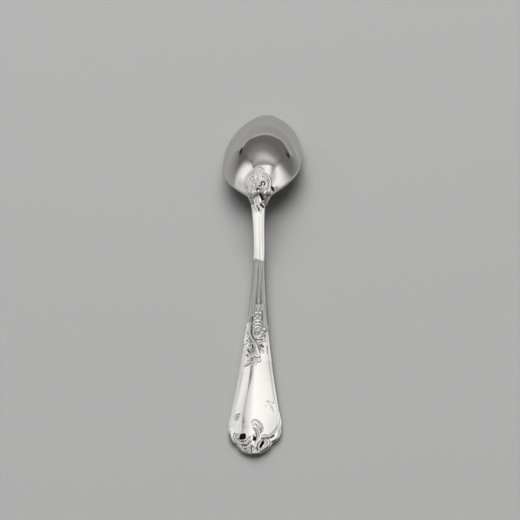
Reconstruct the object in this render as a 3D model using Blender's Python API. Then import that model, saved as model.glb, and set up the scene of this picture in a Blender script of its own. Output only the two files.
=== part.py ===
"""Baby spoon in silver, lying face down: the bowl tip and the handle end rest on the table.

X runs across the spoon, +Y from the handle end to the bowl tip, +Z up from the table.
A raised bowl carries the forged handle on a lapped tongue, and drawn wires and cast
ornaments sit on the back of both, each over its solder joint.
"""

import bpy
import numpy as np

# Whole spoon, in metres
LENGTH = 0.140  # handle end to bowl tip
SOLDER_GAP = 0.00025  # solder joint under every piece that is set on another

# Bowl
BOWL_LENGTH = 0.0437  # tip to the heel, where the shoulders run into the tab
BOWL_WIDTH = 0.0277
BOWL_DEPTH = 0.0080  # rise of the back over the rim edge
BOWL_WIDEST = 0.0249  # tip to the widest station
BOWL_DEEPEST = 0.0200  # tip to the deepest station
BOWL_WALL = 0.0010
RIM_EDGE = 0.0009  # height of the rim's outer edge
RIM_FLAT = 0.0009  # width of the flat that rests on the table
RIM_SLOPE = 0.154  # rise of the rim for each unit of length behind the tip
TIP_SQUARE = 0.21  # how much narrower than an ellipse the tip is
SHOULDER_ROUND = 2.4  # fullness of the shoulders behind the widest station
HEEL_FILLET = 1.2  # sweep of the shoulders into the tab, where 1 is a plain corner
TAB_WIDTH = 0.0054  # tab that goes under the handle's tongue
TAB_LENGTH = 0.0033  # heel to tab end
TAB_RISE = 0.0008  # back of the tab over its edge
HOLLOW_START = 0.0018  # rear end of the hollow, ahead of the heel
HOLLOW_REAR = 0.0006  # width of the hollow at its rear end
HOLLOW_ROUND = 0.8  # fullness of the hollow's rear end
HOLLOW_RUN = 0.0060  # length over which the hollow deepens from its rear end

# Handle
HANDLE_WIDTH = 0.0168
STEM_WIDTH = 0.0032  # narrowest station
NECK_WIDTH = 0.0052
NECK_THICKNESS = 0.0030
END_THICKNESS = 0.0019
WIDEST_STATION = 0.0108  # from the handle end
STEM_STATION = 0.0740  # from the handle end
SHOULDER_LENGTH = 0.0082  # rounding from the widest station towards the end
END_LOBE_RADIUS = 0.0062
END_LOBE_STATION = 0.0061  # lobe centre from the handle end
REST_LENGTH = 0.0130  # from the handle end to where the front face would lift off the table
REST_EASE = 0.00008  # height over which the front face lifts from the table
BLADE_SLOPE = 0.020  # rise of the front face for each unit of length along the blade
NECK_SLOPE = 0.41  # the same along the neck
BEND_EASE = 0.0017  # height over which the stem bends up from the one slope to the other
CROWN = 0.40  # share of the thickness that is crown
SCARF_LENGTH = 0.0006
TONGUE_LENGTH = 0.0045  # lap on the bowl
TONGUE_WIDTH = 0.0048
TONGUE_TIP = 0.0005  # thickness of the tongue at its tip

# Ornament
RELIEF = 0.00050
FOOT = 0.00012  # upright edge of every ornament
WIRE_WIDTH = 0.00076
BLADE_WIRE_WIDTH = 0.00096
WIRE_INSET = 0.00014  # handle edge to wire
RIB_WIDTH = 0.00076

END_Y = -LENGTH / 2
TIP_Y = LENGTH / 2
BOWL_WIDE_Y = TIP_Y - BOWL_WIDEST
HEEL_Y = TIP_Y - BOWL_LENGTH
TAB_Y = HEEL_Y - TAB_LENGTH
HOLLOW_Y = HEEL_Y + HOLLOW_START
SCARF_Y = TAB_Y - SOLDER_GAP - SCARF_LENGTH
TONGUE_Y = SCARF_Y + SCARF_LENGTH + TONGUE_LENGTH
STEM_Y = END_Y + STEM_STATION
WIDE_Y = END_Y + WIDEST_STATION

# Ornament points are counted in units that follow the spoon's own proportions
HANDLE_UNITS = 16.8  # units across the handle at its widest
SPOON_UNITS = 140  # units along the spoon
BOWL_UNITS = 27.7  # units across the bowl
UNIT_X = HANDLE_WIDTH / HANDLE_UNITS
UNIT_Y = LENGTH / SPOON_UNITS
HEEL_UNIT = BOWL_WIDTH / BOWL_UNITS


def smooth_least(a, b, blend):
    """The lesser of two values, blended where they meet."""
    share = np.clip(0.5 + 0.5 * (b - a) / blend, 0, 1)
    return b * (1 - share) + a * share - blend * share * (1 - share)


def smooth_most(a, b, blend):
    return -smooth_least(-a, -b, blend)


# Bowl surfaces
def rim_height(y):
    return RIM_SLOPE * (TIP_Y - y)


def egg_half(y, half, tip_y, rear_y, rear_half, fillet):
    """Half width of an egg outline: squared half ellipse in front, swept shoulders behind."""
    ahead = np.clip((y - BOWL_WIDE_Y) / (tip_y - BOWL_WIDE_Y), 0, 0.9994)
    front = half * np.sqrt(1 - ahead**2) * (1 - TIP_SQUARE * ahead**4)
    behind = np.clip((BOWL_WIDE_Y - y) / (BOWL_WIDE_Y - rear_y), 0, 1)
    rear = rear_half + (half - rear_half) * (1 - behind**SHOULDER_ROUND) ** fillet
    return np.where(y > BOWL_WIDE_Y, front, rear)


def bowl_half(y):
    """Half width of the rim, with the tab behind it."""
    return egg_half(y, BOWL_WIDTH / 2, TIP_Y, HEEL_Y, TAB_WIDTH / 2, HEEL_FILLET)


def hollow_half(y):
    inner = BOWL_WIDTH / 2 - RIM_FLAT
    return egg_half(y, inner, TIP_Y - RIM_FLAT, HOLLOW_Y, HOLLOW_REAR / 2, HOLLOW_ROUND)


def bowl_rise(y):
    """Height of the back's crest over the rim edge."""
    deep_y = TIP_Y - BOWL_DEEPEST
    ahead = np.clip((y - deep_y) / BOWL_DEEPEST, 0, 1)
    behind = np.clip((deep_y - y) / (deep_y - TAB_Y), 0, 1)
    front = BOWL_DEPTH * (1 - ahead**2)
    rear = TAB_RISE + (BOWL_DEPTH - TAB_RISE) * (1 - behind**1.5)
    return np.where(y > deep_y, front, rear)


def dome(share):
    return (1 - share**2) * (1 + 0.2 * share**2)


def bowl_back(x, y):
    share = np.clip(np.abs(x) / bowl_half(y), 0, 1)
    return rim_height(y) + RIM_EDGE + bowl_rise(y) * dome(share)


# Handle surfaces
def handle_half(y):
    """Half width: waisted stem, blade that opens to the end, rounded shoulders and end lobe."""
    stem, wide = STEM_WIDTH / 2, HANDLE_WIDTH / 2
    back = np.clip((STEM_Y - y) / (STEM_Y - WIDE_Y), 0, 1)
    ahead = np.clip((y - STEM_Y) / (SCARF_Y - STEM_Y), 0, None)
    half = stem + (wide - stem) * back**1.6 + (NECK_WIDTH / 2 - stem) * ahead**2
    past = np.clip((WIDE_Y - y) / SHOULDER_LENGTH, 0, 1)
    shoulder = wide * np.sqrt(1 - past**4)
    lobe_y = y - END_Y - END_LOBE_STATION
    lobe = np.sqrt(np.clip(END_LOBE_RADIUS**2 - lobe_y**2, 0, None))
    tongue = TONGUE_WIDTH / 2 * (1 - 0.25 * np.clip((y - SCARF_Y) / TONGUE_LENGTH, 0, 1) ** 3)
    half = np.where(y > SCARF_Y, np.minimum(half, tongue), half)
    return np.where(y < WIDE_Y, np.maximum(shoulder, lobe), half)


def handle_front(y):
    """Front face, which faces down: flat on the table, then low along the blade and up the neck."""
    blade = BLADE_SLOPE * (y - END_Y - REST_LENGTH)
    neck = rim_height(SCARF_Y) - NECK_SLOPE * (SCARF_Y - y)
    return smooth_most(0 * y, smooth_most(blade, neck, BEND_EASE), REST_EASE)


def handle_thickness(y):
    share = (y - END_Y) / (SCARF_Y - END_Y)
    return END_THICKNESS + (NECK_THICKNESS - END_THICKNESS) * share


def handle_back(x, y):
    """Back of the handle, with its tongue thinning out over the bowl."""
    share = np.clip(np.abs(x) / handle_half(y), 0, 1)
    thick = handle_thickness(np.minimum(y, SCARF_Y))
    stem = handle_front(np.minimum(y, SCARF_Y)) + thick * (1 - CROWN * share**2)
    root_y = SCARF_Y + SCARF_LENGTH
    along = np.clip((y - root_y) / TONGUE_LENGTH, 0, 1)
    seat = bowl_back(0 * x, np.maximum(y, TAB_Y)) + SOLDER_GAP
    root = handle_front(SCARF_Y) + NECK_THICKNESS - bowl_back(0.0, TAB_Y) - SOLDER_GAP
    crest = seat + root * (1 - along) + TONGUE_TIP * along
    edge = bowl_back(np.abs(x), np.maximum(y, TAB_Y)) + SOLDER_GAP + TONGUE_TIP * 0.6
    lap = edge + (crest - seat - TONGUE_TIP * 0.6) * (1 - share**2)
    blend = np.clip((y - SCARF_Y) / SCARF_LENGTH, 0, 1)
    return stem * (1 - blend) + lap * blend


def handle_seat(x, y):
    """Underside of the handle: its front face, then the seat of the tongue on the bowl."""
    lap = bowl_back(x, np.maximum(y, TAB_Y)) + SOLDER_GAP
    blend = np.clip((y - SCARF_Y) / SCARF_LENGTH, 0, 1)
    return handle_front(np.minimum(y, SCARF_Y)) * (1 - blend) + lap * blend


# Meshes
spoon = None


def add_solid(name, points, faces, at, roughness, colour):
    """A closed mesh whose faces point outwards, set at a point of its own."""
    points = np.asarray(points, float)
    volume = 0.0
    for face in faces:
        for k in range(1, len(face) - 1):
            volume += np.linalg.det(points[[face[0], face[k], face[k + 1]]])
    if volume < 0:
        faces = [face[::-1] for face in faces]
    mesh = bpy.data.meshes.new(name)
    mesh.from_pydata((points - at).tolist(), [], [list(face) for face in faces])
    mesh.validate()
    mesh.shade_smooth()
    mesh.set_sharp_from_angle(angle=np.radians(40))
    material = bpy.data.materials.new(name + "_silver")
    material.use_nodes = True
    shader = material.node_tree.nodes["Principled BSDF"]
    shader.inputs["Base Color"].default_value = (*colour, 1.0)
    shader.inputs["Metallic"].default_value = 1.0
    shader.inputs["Roughness"].default_value = roughness
    mesh.materials.append(material)
    piece = bpy.data.objects.new(name, mesh)
    piece.location = at
    piece.parent = spoon
    bpy.context.scene.collection.objects.link(piece)
    return piece


def sheet_faces(top, bottom):
    """Faces of a plate between two grids of point numbers with the same rows and columns."""
    faces = []
    rows, columns = top.shape
    for i in range(rows - 1):
        for j in range(columns - 1):
            faces.append((top[i, j], top[i, j + 1], top[i + 1, j + 1], top[i + 1, j]))
            faces.append((bottom[i, j], bottom[i + 1, j], bottom[i + 1, j + 1], bottom[i, j + 1]))
    loop = [(0, j) for j in range(columns)] + [(i, columns - 1) for i in range(1, rows)]
    loop += [(rows - 1, j) for j in range(columns - 2, -1, -1)]
    loop += [(i, 0) for i in range(rows - 2, 0, -1)]
    for here, after in zip(loop, loop[1:] + loop[:1]):
        faces.append((top[here], bottom[here], bottom[after], top[after]))
    return faces


def grid_numbers(rows, columns, start=0):
    return start + np.arange(rows * columns).reshape(rows, columns)


def stack(x, y, z):
    return np.stack([x, y + 0 * x, z], -1).reshape(-1, 3)


def add_bowl():
    """A shell: domed back, upright rim edge, flat rim and hollow front."""
    rows, columns = 34, 13
    ease = (1 - np.cos(np.linspace(0, np.pi, rows))) / 2
    across = np.sin(np.linspace(-np.pi / 2, np.pi / 2, columns))
    y = (TAB_Y + (TIP_Y - TAB_Y) * ease)[:, None]
    x = bowl_half(y) * across
    back = stack(x, y, bowl_back(x, y))
    edge = stack(x, y, rim_height(y) + 0 * x)
    inner_y = HOLLOW_Y + (TIP_Y - RIM_FLAT - HOLLOW_Y) * ease[:, None]
    x = hollow_half(inner_y) * across
    ramp = np.clip((inner_y - HOLLOW_Y) / HOLLOW_RUN, 0, 1)
    rise = (bowl_rise(inner_y) + RIM_EDGE - BOWL_WALL) * np.sqrt(ramp * (2 - ramp))
    front = stack(x, inner_y, rim_height(inner_y) + rise * dome(np.abs(across) + 0 * x))
    count = rows * columns
    top = grid_numbers(rows, columns)
    low = grid_numbers(rows, columns, count)
    hollow = grid_numbers(rows, columns, 2 * count)
    faces = []
    for i in range(rows - 1):
        for j in range(columns - 1):
            faces.append((top[i, j], top[i, j + 1], top[i + 1, j + 1], top[i + 1, j]))
            faces.append((hollow[i, j], hollow[i + 1, j], hollow[i + 1, j + 1], hollow[i, j + 1]))
    loop = [(0, j) for j in range(columns)] + [(i, columns - 1) for i in range(1, rows)]
    loop += [(rows - 1, j) for j in range(columns - 2, -1, -1)]
    loop += [(i, 0) for i in range(rows - 2, 0, -1)]
    for here, after in zip(loop, loop[1:] + loop[:1]):
        faces.append((top[here], low[here], low[after], top[after]))
        faces.append((low[here], hollow[here], hollow[after], low[after]))
    points = np.concatenate([back, edge, front])
    used = sorted({number for face in faces for number in face})
    place = {number: k for k, number in enumerate(used)}
    faces = [tuple(place[number] for number in face) for face in faces]
    at = np.array([0.0, BOWL_WIDE_Y, 0.0])
    add_solid("bowl", points[used], faces, at, 0.08, (0.93, 0.92, 0.89))


def add_handle():
    """One forging: end lobe, blade, stem, and the tongue that laps the bowl."""
    end = END_Y + WIDEST_STATION * (1 - np.cos(np.linspace(0, np.pi / 2, 15)))
    blade = np.linspace(WIDE_Y, SCARF_Y, 40)[1:]
    tongue = np.linspace(SCARF_Y + SCARF_LENGTH, TONGUE_Y, 5)
    y = np.concatenate([end, blade, tongue])[:, None]
    across = np.sin(np.linspace(-np.pi / 2, np.pi / 2, 9))
    x = handle_half(y) * across
    points = np.concatenate([stack(x, y, handle_back(x, y)), stack(x, y, handle_seat(x, y))])
    rows, columns = x.shape
    faces = sheet_faces(grid_numbers(rows, columns), grid_numbers(rows, columns, rows * columns))
    add_solid("handle", points, faces, np.array([0.0, END_Y, 0.0]), 0.10, (0.92, 0.91, 0.88))


def through(points, steps):
    """A smooth path through a few points, and each sample's place along them."""
    points = np.asarray(points, float)
    outer = np.vstack([2 * points[0] - points[1], points, 2 * points[-1] - points[-2]])
    path, place = [], []
    for k in range(len(points) - 1):
        a, b, c, d = outer[k : k + 4]
        last = k == len(points) - 2
        for t in np.linspace(0, 1, steps + 1)[: steps + last]:
            cubic = 2 * b + (c - a) * t + (2 * a - 5 * b + 4 * c - d) * t**2
            path.append((cubic + (3 * b - a - 3 * c + d) * t**3) / 2)
            place.append(k + t)
    return np.array(path), np.array(place)


def on_handle(points):
    """Points counted from the middle line and from the handle end."""
    return np.asarray(points, float) * (UNIT_X, UNIT_Y) + (0, END_Y)


def on_neck(points):
    """Points counted from the middle line and from the scarf under the tongue's root."""
    return np.asarray(points, float) * (UNIT_X, UNIT_Y) + (0, SCARF_Y)


def on_heel(points):
    """Points counted from the middle line and from the tongue's tip."""
    return np.asarray(points, float) * HEEL_UNIT + (0, TONGUE_Y)


def add_strip(name, points, halves, seat, steps=3, columns=5, relief=RELIEF, ribs=0):
    """A half-round strip of changing half width along a path, bedded on the surface below it."""
    path, place = through(points, steps)
    half = np.interp(place, np.arange(len(halves)), halves)
    run = np.gradient(path, axis=0)
    run /= np.linalg.norm(run, axis=1)[:, None]
    across = np.linspace(-1, 1, columns)
    x = path[:, :1] + run[:, 1:] * half[:, None] * across
    y = path[:, 1:] - run[:, :1] * half[:, None] * across
    low = seat(x, y) + SOLDER_GAP
    swell = np.sqrt(half / half.max())[:, None] * (1 - across**2)
    high = low + FOOT + relief * swell * (1 - 0.2 * (1 - np.cos(np.pi * ribs * across)))
    rows = len(path)
    points = np.concatenate([stack(x, y, high), stack(x, y, low)])
    faces = sheet_faces(grid_numbers(rows, columns), grid_numbers(rows, columns, rows * columns))
    middle = rows // 2
    at = np.array([path[middle, 0], path[middle, 1], low[middle, columns // 2]])
    add_solid(name, points, faces, at, 0.16, (0.90, 0.89, 0.85))


def add_boss(name, centre, radii, seat, lobes=0, dish=0.0, relief=RELIEF):
    """A round or lobed boss, dished in the middle where it is an eye."""
    rings = np.array([0.35, 0.7, 1.0])
    angle = np.linspace(0, 2 * np.pi, 16, endpoint=False)
    wave = 1 + (0.2 * np.cos(lobes * (angle - np.pi / 2)) if lobes else 0 * angle)
    x = centre[0] + rings[:, None] * radii[0] * np.cos(angle) * wave
    y = centre[1] + rings[:, None] * radii[1] * np.sin(angle) * wave
    swell = (1 - rings**4) * (1 - dish * np.clip(1.6 - 2 * rings, 0, 1))
    low = seat(x, y) + SOLDER_GAP
    high = low + FOOT + relief * swell[:, None]
    base = float(seat(centre[:1], centre[1:])[0]) + SOLDER_GAP
    peak = base + FOOT + relief * (1 - dish)
    count = high.size
    points = np.vstack([stack(x, y, high), stack(x, y, low)])
    points = np.vstack([points, (centre[0], centre[1], peak), (centre[0], centre[1], base)])
    faces = []
    turns = len(angle)
    for j in range(turns):
        k = (j + 1) % turns
        faces.append((2 * count, j, k))
        faces.append((2 * count + 1, count + k, count + j))
        for i in range(len(rings) - 1):
            a, b = i * turns, (i + 1) * turns
            faces.append((a + j, b + j, b + k, a + k))
            faces.append((count + a + j, count + a + k, count + b + k, count + b + j))
        edge = (len(rings) - 1) * turns
        faces.append((edge + j, count + edge + j, count + edge + k, edge + k))
    at = np.array([centre[0], centre[1], base])
    add_solid(name, points, faces, at, 0.16, (0.90, 0.89, 0.85))


def add_wire(name, side, start, stop, count, width, tail=()):
    """A drawn wire along one edge of the handle, running on through the points of its tail."""
    y = np.linspace(start[1], stop[1], count)
    x = side * (handle_half(y) - WIRE_INSET - width / 2)
    points = np.stack([x, y], -1)
    if len(tail):
        points = np.vstack([points, on_handle(tail)])
    halves = [width * 0.3] + [width / 2] * (len(points) - 2) + [width * 0.3]
    add_strip(name, points, halves, handle_back, 2, 3)


def add_leaf(name, points, width, place=on_handle, relief=RELIEF):
    """A leaf on the handle: pointed at both ends, widest behind its middle."""
    points = place(points)
    along = np.linspace(0, 1, len(points))
    halves = width / 2 * UNIT_X * (0.22 + 0.78 * np.sin(np.pi * along**0.8))
    add_strip(name, points, halves, handle_back, relief=relief)


for old in list(bpy.data.objects):
    bpy.data.objects.remove(old, do_unlink=True)
spoon = bpy.data.objects.new("spoon", None)
bpy.context.scene.collection.objects.link(spoon)

add_bowl()
add_handle()

# Heel: a fan shell over two scrolls that curl towards each other, with a bud between them
SHELL = on_heel([(0, 7.2), (0, 8.4), (0, 9.8), (0, 10.6)])
add_strip("heel_shell", SHELL, np.array([0.6, 1.5, 2.3, 1.7]) * HEEL_UNIT, bowl_back, 3, 11, ribs=5)
SCROLL = [(0.95, 0.6), (2.6, 0.7), (3.9, 2.1), (4.1, 4.1), (3.3, 5.8), (2.0, 6.2)]
SCROLL += [(1.3, 5.2), (1.6, 4.2), (2.3, 4.0)]
SCROLL_HALVES = np.array([0.25, 0.55, 0.65, 0.65, 0.6, 0.5, 0.42, 0.35, 0.2]) * HEEL_UNIT
for name, side in (("heel_scroll_left", -1), ("heel_scroll_right", 1)):
    turned = on_heel([(side * x, y) for x, y in SCROLL])
    add_strip(name, turned, SCROLL_HALVES, bowl_back, 3)
BUD = on_heel([(0, 1.4), (0, 2.2), (0, 3.0), (0, 3.7)])
add_strip("heel_bud", BUD, np.array([0.15, 0.5, 0.45, 0.12]) * HEEL_UNIT, bowl_back, 2)

# Neck and stem: a leaf from the heel, a rib down the middle, a wire along each edge
add_leaf("neck_leaf", [(0, 3.7), (0, 1.6), (0, -0.6), (0, -3.6)], 2.3, on_neck)
RIB = np.linspace(on_neck((0, -4.3)), on_handle((0, 55.8)), 5)
RIB_HALVES = RIB_WIDTH / 2 * np.array([0.4, 1, 1, 1, 0.4])
add_strip("stem_rib", RIB, RIB_HALVES, handle_back, 3, 3)
S_TURN = [(-2.6, 45.9), (-2.0, 43.1), (-1.0, 41.1), (-0.2, 39.2), (0.1, 37.2)]
NECK_END = on_neck((0, -1.5))
add_wire("stem_wire_left", -1, NECK_END, on_handle((0, 49.4)), 11, WIRE_WIDTH, S_TURN)
add_wire("stem_wire_right", 1, NECK_END, on_handle((0, 46.1)), 12, WIRE_WIDTH)

# Middle of the handle: husks, a rosette under its brow leaf, and a spray of leaves
add_leaf("husk_bud", [(0, 55.0), (0, 53.9), (0, 52.6)], 0.9)
add_boss("husk_flower", on_handle((0, 51.0)), (1.0 * UNIT_X, 0.6 * UNIT_Y), handle_back, 4)
add_boss("husk_drop", on_handle((0, 48.8)), (1.2 * UNIT_X, 0.85 * UNIT_Y), handle_back, 3)
BROW = [(-1.6, 45.6), (-0.9, 46.5), (0.2, 47.0), (1.1, 46.5), (1.7, 45.7)]
add_leaf("brow_leaf", BROW, 0.75)
add_boss("rosette", on_handle((0.1, 43.9)), (1.45 * UNIT_X, 1.45 * UNIT_Y), handle_back, 0, 0.7)
add_boss("side_bead", on_handle((2.8, 44.8)), (0.55 * UNIT_X, 0.6 * UNIT_Y), handle_back)
CURL = [(2.3, 43.0), (3.1, 43.0), (3.4, 42.1), (3.0, 41.2), (2.4, 41.2)]
add_leaf("side_curl", CURL, 0.7)
add_leaf("left_leaf", [(-3.2, 43.8), (-3.0, 42.1), (-2.5, 40.4), (-1.7, 38.9)], 0.9)
add_leaf("drop_leaf", [(2.1, 39.8), (2.2, 38.0), (2.1, 36.2)], 0.85)
add_leaf("spray_leaf_left", [(-0.9, 36.0), (-1.9, 34.6), (-3.0, 32.6)], 1.1)
add_leaf("spray_leaf_middle", [(-0.1, 35.1), (-0.2, 33.2), (-0.3, 31.2)], 1.0)
add_leaf("spray_leaf_right", [(0.8, 35.4), (1.4, 34.3), (2.2, 32.8)], 0.9)

# Blade: a wire along each edge and a sprig on each side of the plain panel
BLADE_LEFT = on_handle([(0, 39.1), (0, 8.7)])
add_wire("blade_wire_left", -1, *BLADE_LEFT, 7, BLADE_WIRE_WIDTH)
SWEEP = [(7.3, 8.8), (6.4, 7.0), (5.0, 6.0), (3.4, 6.0), (2.1, 5.4)]
BLADE_RIGHT = on_handle([(0, 39.8), (0, 10.8)])
add_wire("blade_wire_right", 1, *BLADE_RIGHT, 7, BLADE_WIRE_WIDTH, SWEEP)
add_leaf("sprig_right", [(3.5, 18.3), (4.3, 17.2), (5.2, 15.5), (5.8, 13.3)], 1.1)
add_leaf("sprig_left", [(-4.5, 15.0), (-5.0, 13.3), (-5.6, 11.5), (-5.8, 9.5)], 1.1)

# Handle end: a scroll, a flame leaf, an eye and two small leaves
END_SCROLL = [(-5.9, 6.8), (-5.6, 5.1), (-4.2, 3.8), (-2.6, 3.9), (-1.5, 5.1), (-1.7, 6.3)]
END_HALVES = np.array([0.35, 0.7, 0.75, 0.7, 0.5, 0.3]) * UNIT_X
add_strip("end_scroll", on_handle(END_SCROLL), END_HALVES, handle_back, 3)
add_leaf("flame_leaf", [(-0.8, 10.6), (0.6, 10.4), (1.8, 9.4), (2.2, 8.0), (1.4, 6.8)], 1.5)
add_boss("end_eye", on_handle((2.9, 3.0)), (1.5 * UNIT_X, 1.5 * UNIT_Y), handle_back, 0, 0.9)
add_leaf("end_husk", [(0.1, 4.2), (0.2, 2.8), (0.2, 1.6), (0.2, 0.5)], 1.6)
add_leaf("end_leaf", [(-3.0, 2.3), (-2.3, 1.7), (-1.4, 1.0)], 0.8)
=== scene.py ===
# %% [markdown]
# # A silver baby spoon, lying face down
# This lesson dresses a small spoon whose solids are already packed. The frame holds one
# node for each piece: a raised bowl, a forged handle, and the wires, scrolls and leaves
# that sit on their backs. Everything is in metres, X across the spoon, +Y towards the
# bowl's tip and +Z up from the table, so each visible piece is made where its node is.

# %% Load the frame
import math

import bpy
import numpy as np
from mathutils import Matrix, Vector
from mathutils.kdtree import KDTree


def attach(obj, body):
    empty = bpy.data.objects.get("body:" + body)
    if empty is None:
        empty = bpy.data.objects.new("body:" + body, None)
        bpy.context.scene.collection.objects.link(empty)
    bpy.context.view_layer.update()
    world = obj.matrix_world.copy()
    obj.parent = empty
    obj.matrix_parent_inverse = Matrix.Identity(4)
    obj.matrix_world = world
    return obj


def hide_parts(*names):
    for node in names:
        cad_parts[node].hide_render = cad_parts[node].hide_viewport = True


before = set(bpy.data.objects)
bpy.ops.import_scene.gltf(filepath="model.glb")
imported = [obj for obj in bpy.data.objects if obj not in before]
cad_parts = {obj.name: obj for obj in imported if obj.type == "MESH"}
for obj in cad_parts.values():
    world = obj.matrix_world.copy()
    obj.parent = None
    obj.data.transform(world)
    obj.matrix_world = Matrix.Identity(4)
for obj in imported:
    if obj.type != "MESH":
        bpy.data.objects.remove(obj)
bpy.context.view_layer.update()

MM = 0.001
print("nodes in the frame:", len(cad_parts))

# %% [markdown]
# ## Camera
# The view looks down on the handle end from a little to the right, and the camera is
# turned about its own line of sight, which is why the spoon leans in the picture. The
# angles came from fitting the outline of the bowl and the blade; the lens follows from
# the distance.

# %% Camera
LOOK_AT = Vector((0.0, 0.0, 0.004))
DISTANCE = 0.560
ELEVATION = math.radians(52.42)
AZIMUTH = math.radians(12.14)
ROLL = math.radians(13.31)
FOCAL_PIXELS = 1685.5
IMAGE_PIXELS = 520
SHIFT_PIXELS = (1.16, 6.67)


def add_object(name, data):
    made = bpy.data.objects.new(name, data)
    bpy.context.scene.collection.objects.link(made)
    return made


def set_camera():
    back = Vector((math.sin(AZIMUTH) * math.cos(ELEVATION),
                   -math.cos(AZIMUTH) * math.cos(ELEVATION), math.sin(ELEVATION)))
    right = Vector((math.cos(AZIMUTH), math.sin(AZIMUTH), 0.0))
    up = back.cross(right)
    rolled_right = right * math.cos(ROLL) - up * math.sin(ROLL)
    rolled_up = right * math.sin(ROLL) + up * math.cos(ROLL)
    lens = bpy.data.cameras.new("camera")
    lens.sensor_width = 36.0
    lens.lens = FOCAL_PIXELS / IMAGE_PIXELS * lens.sensor_width
    lens.shift_x, lens.shift_y = (shift / IMAGE_PIXELS for shift in SHIFT_PIXELS)
    lens.clip_start = 0.01
    camera = add_object("camera", lens)
    turn = Matrix((rolled_right, rolled_up, back)).transposed().to_4x4()
    camera.matrix_world = Matrix.Translation(LOOK_AT + back * DISTANCE) @ turn
    bpy.context.scene.camera = camera
    print("camera: lens", round(lens.lens, 1), "mm at", round(DISTANCE, 3), "m")


set_camera()

# %% [markdown]
# ## Sizes and surfaces
# A spoon is easiest to think of as heights over its own plan. The plan gives the half
# width at each station along the spoon, and a height says how far the back stands over
# the table. The sizes of the solids are written here once, with a flatter crown and a
# wider neck than they have, and every later piece asks these functions where the metal is.

# %% Plan of the bowl and the handle
END_Y, TIP_Y = -0.070, 0.070
BOWL_LENGTH, BOWL_WIDTH, BOWL_DEPTH = 0.0437, 0.0277, 0.0080
BOWL_WIDE_Y, BOWL_DEEPEST = TIP_Y - 0.0249, 0.0200
BOWL_WALL, RIM_EDGE, RIM_FLAT, RIM_SLOPE = 0.0010, 0.0009, 0.0009, 0.154
HEEL_Y = TIP_Y - BOWL_LENGTH
TAB_Y = HEEL_Y - 0.0033
TAB_WIDTH, TAB_RISE = 0.0054, 0.0008
HOLLOW_Y = HEEL_Y + 0.0018
NECK_Y = TAB_Y - 0.00085
TIP_NARROWING, REAR_FULLNESS = 0.21, 2.4
FLARE_SLOPE, FLARE_CURVE, FLARE_LENGTH = 0.22, 17.0, 0.008
HANDLE_WIDTH, STEM_WIDTH, NECK_WIDTH = 0.0168, 0.0037, 0.0049
NECK_THICKNESS, END_THICKNESS = 0.0030, 0.0019
WIDE_Y, STEM_Y = END_Y + 0.0108, END_Y + 0.0740
LIFT_Y = END_Y + 0.0130
BLADE_SLOPE, NECK_SLOPE, BEND_BLEND = 0.024, 0.41, 0.0029
SHOULDER_LENGTH, LOBE_RADIUS, LOBE_INSET = 0.0082, 0.0062, 0.0061
CROWN, STEM_CROWN = 0.40, 0.025
CORNER_FALL, SIDE_SWELL = 0.30, 0.00028


def least(a, b, blend):
    """The smaller of two values, rounded over where they cross."""
    share = np.clip(0.5 + 0.5 * (b - a) / blend, 0, 1)
    return b * (1 - share) + a * share - blend * share * (1 - share)


def ramp(value, start, length):
    """0 up to the start, then rising to 1 over the length."""
    return np.clip((value - start) / length, 0, 1)


def rim_height(y):
    return RIM_SLOPE * (TIP_Y - y)


def egg_half(y, half, tip_y, rear_y, rear_half, fillet):
    ahead = np.clip((y - BOWL_WIDE_Y) / (tip_y - BOWL_WIDE_Y), 0, 0.9998)
    front = half * np.sqrt(1 - ahead**2) * (1 - TIP_NARROWING * ahead**4)
    behind = np.clip((BOWL_WIDE_Y - y) / (BOWL_WIDE_Y - rear_y), 0, 1)
    rear = rear_half + (half - rear_half) * (1 - behind**REAR_FULLNESS) ** fillet
    return np.where(y > BOWL_WIDE_Y, front, rear)


def bowl_half(y):
    egg = egg_half(y, BOWL_WIDTH / 2, TIP_Y, HEEL_Y, TAB_WIDTH / 2, 1.2)
    away = np.clip(y - NECK_Y, 0, FLARE_LENGTH)
    flare = NECK_WIDTH / 2 + FLARE_SLOPE * away + FLARE_CURVE * away**2
    return np.where(y < BOWL_WIDE_Y, -least(-egg, -flare, 0.0004), egg)


def hollow_half(y):
    return egg_half(y, BOWL_WIDTH / 2 - RIM_FLAT, TIP_Y - RIM_FLAT, HOLLOW_Y, 0.0003, 0.8)


def handle_half(y):
    stem, wide = STEM_WIDTH / 2, HANDLE_WIDTH / 2
    back = np.clip((STEM_Y - y) / (STEM_Y - WIDE_Y), 0, 1)
    ahead = np.clip((y - STEM_Y) / (NECK_Y - STEM_Y), 0, None)
    half = stem + (wide - stem) * back**1.6 + (NECK_WIDTH / 2 - stem) * ahead**4
    past = np.clip((WIDE_Y - y) / SHOULDER_LENGTH, 0, 1)
    shoulder = wide * np.sqrt(1 - past**4)
    lobe = np.sqrt(np.clip(LOBE_RADIUS**2 - (y - END_Y - LOBE_INSET) ** 2, 0, None))
    return np.where(y < WIDE_Y, np.maximum(shoulder, lobe), half)


print("bowl half width at its widest:", round(float(bowl_half(BOWL_WIDE_Y)) * 1e3, 2), "mm")
print("blade half width at its widest:", round(float(handle_half(WIDE_Y)) * 1e3, 2), "mm")

# %% [markdown]
# The bowl's back stands on its rim as a dome, deepest near the middle of the bowl. The
# handle lies low along the blade and turns up into the neck. Its back is crowned more on
# the left of the blade than on the right, and it is nearly flat on the stem.

# %% Heights of the backs


def bowl_rise(y):
    deep_y = TIP_Y - BOWL_DEEPEST
    ahead = ramp(y, deep_y, BOWL_DEEPEST)
    behind = np.clip((deep_y - y) / (deep_y - TAB_Y), 0, 1)
    rear = TAB_RISE + (BOWL_DEPTH - TAB_RISE) * (1 - behind**1.5)
    return np.where(y > deep_y, BOWL_DEPTH * (1 - ahead**2), rear)


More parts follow.
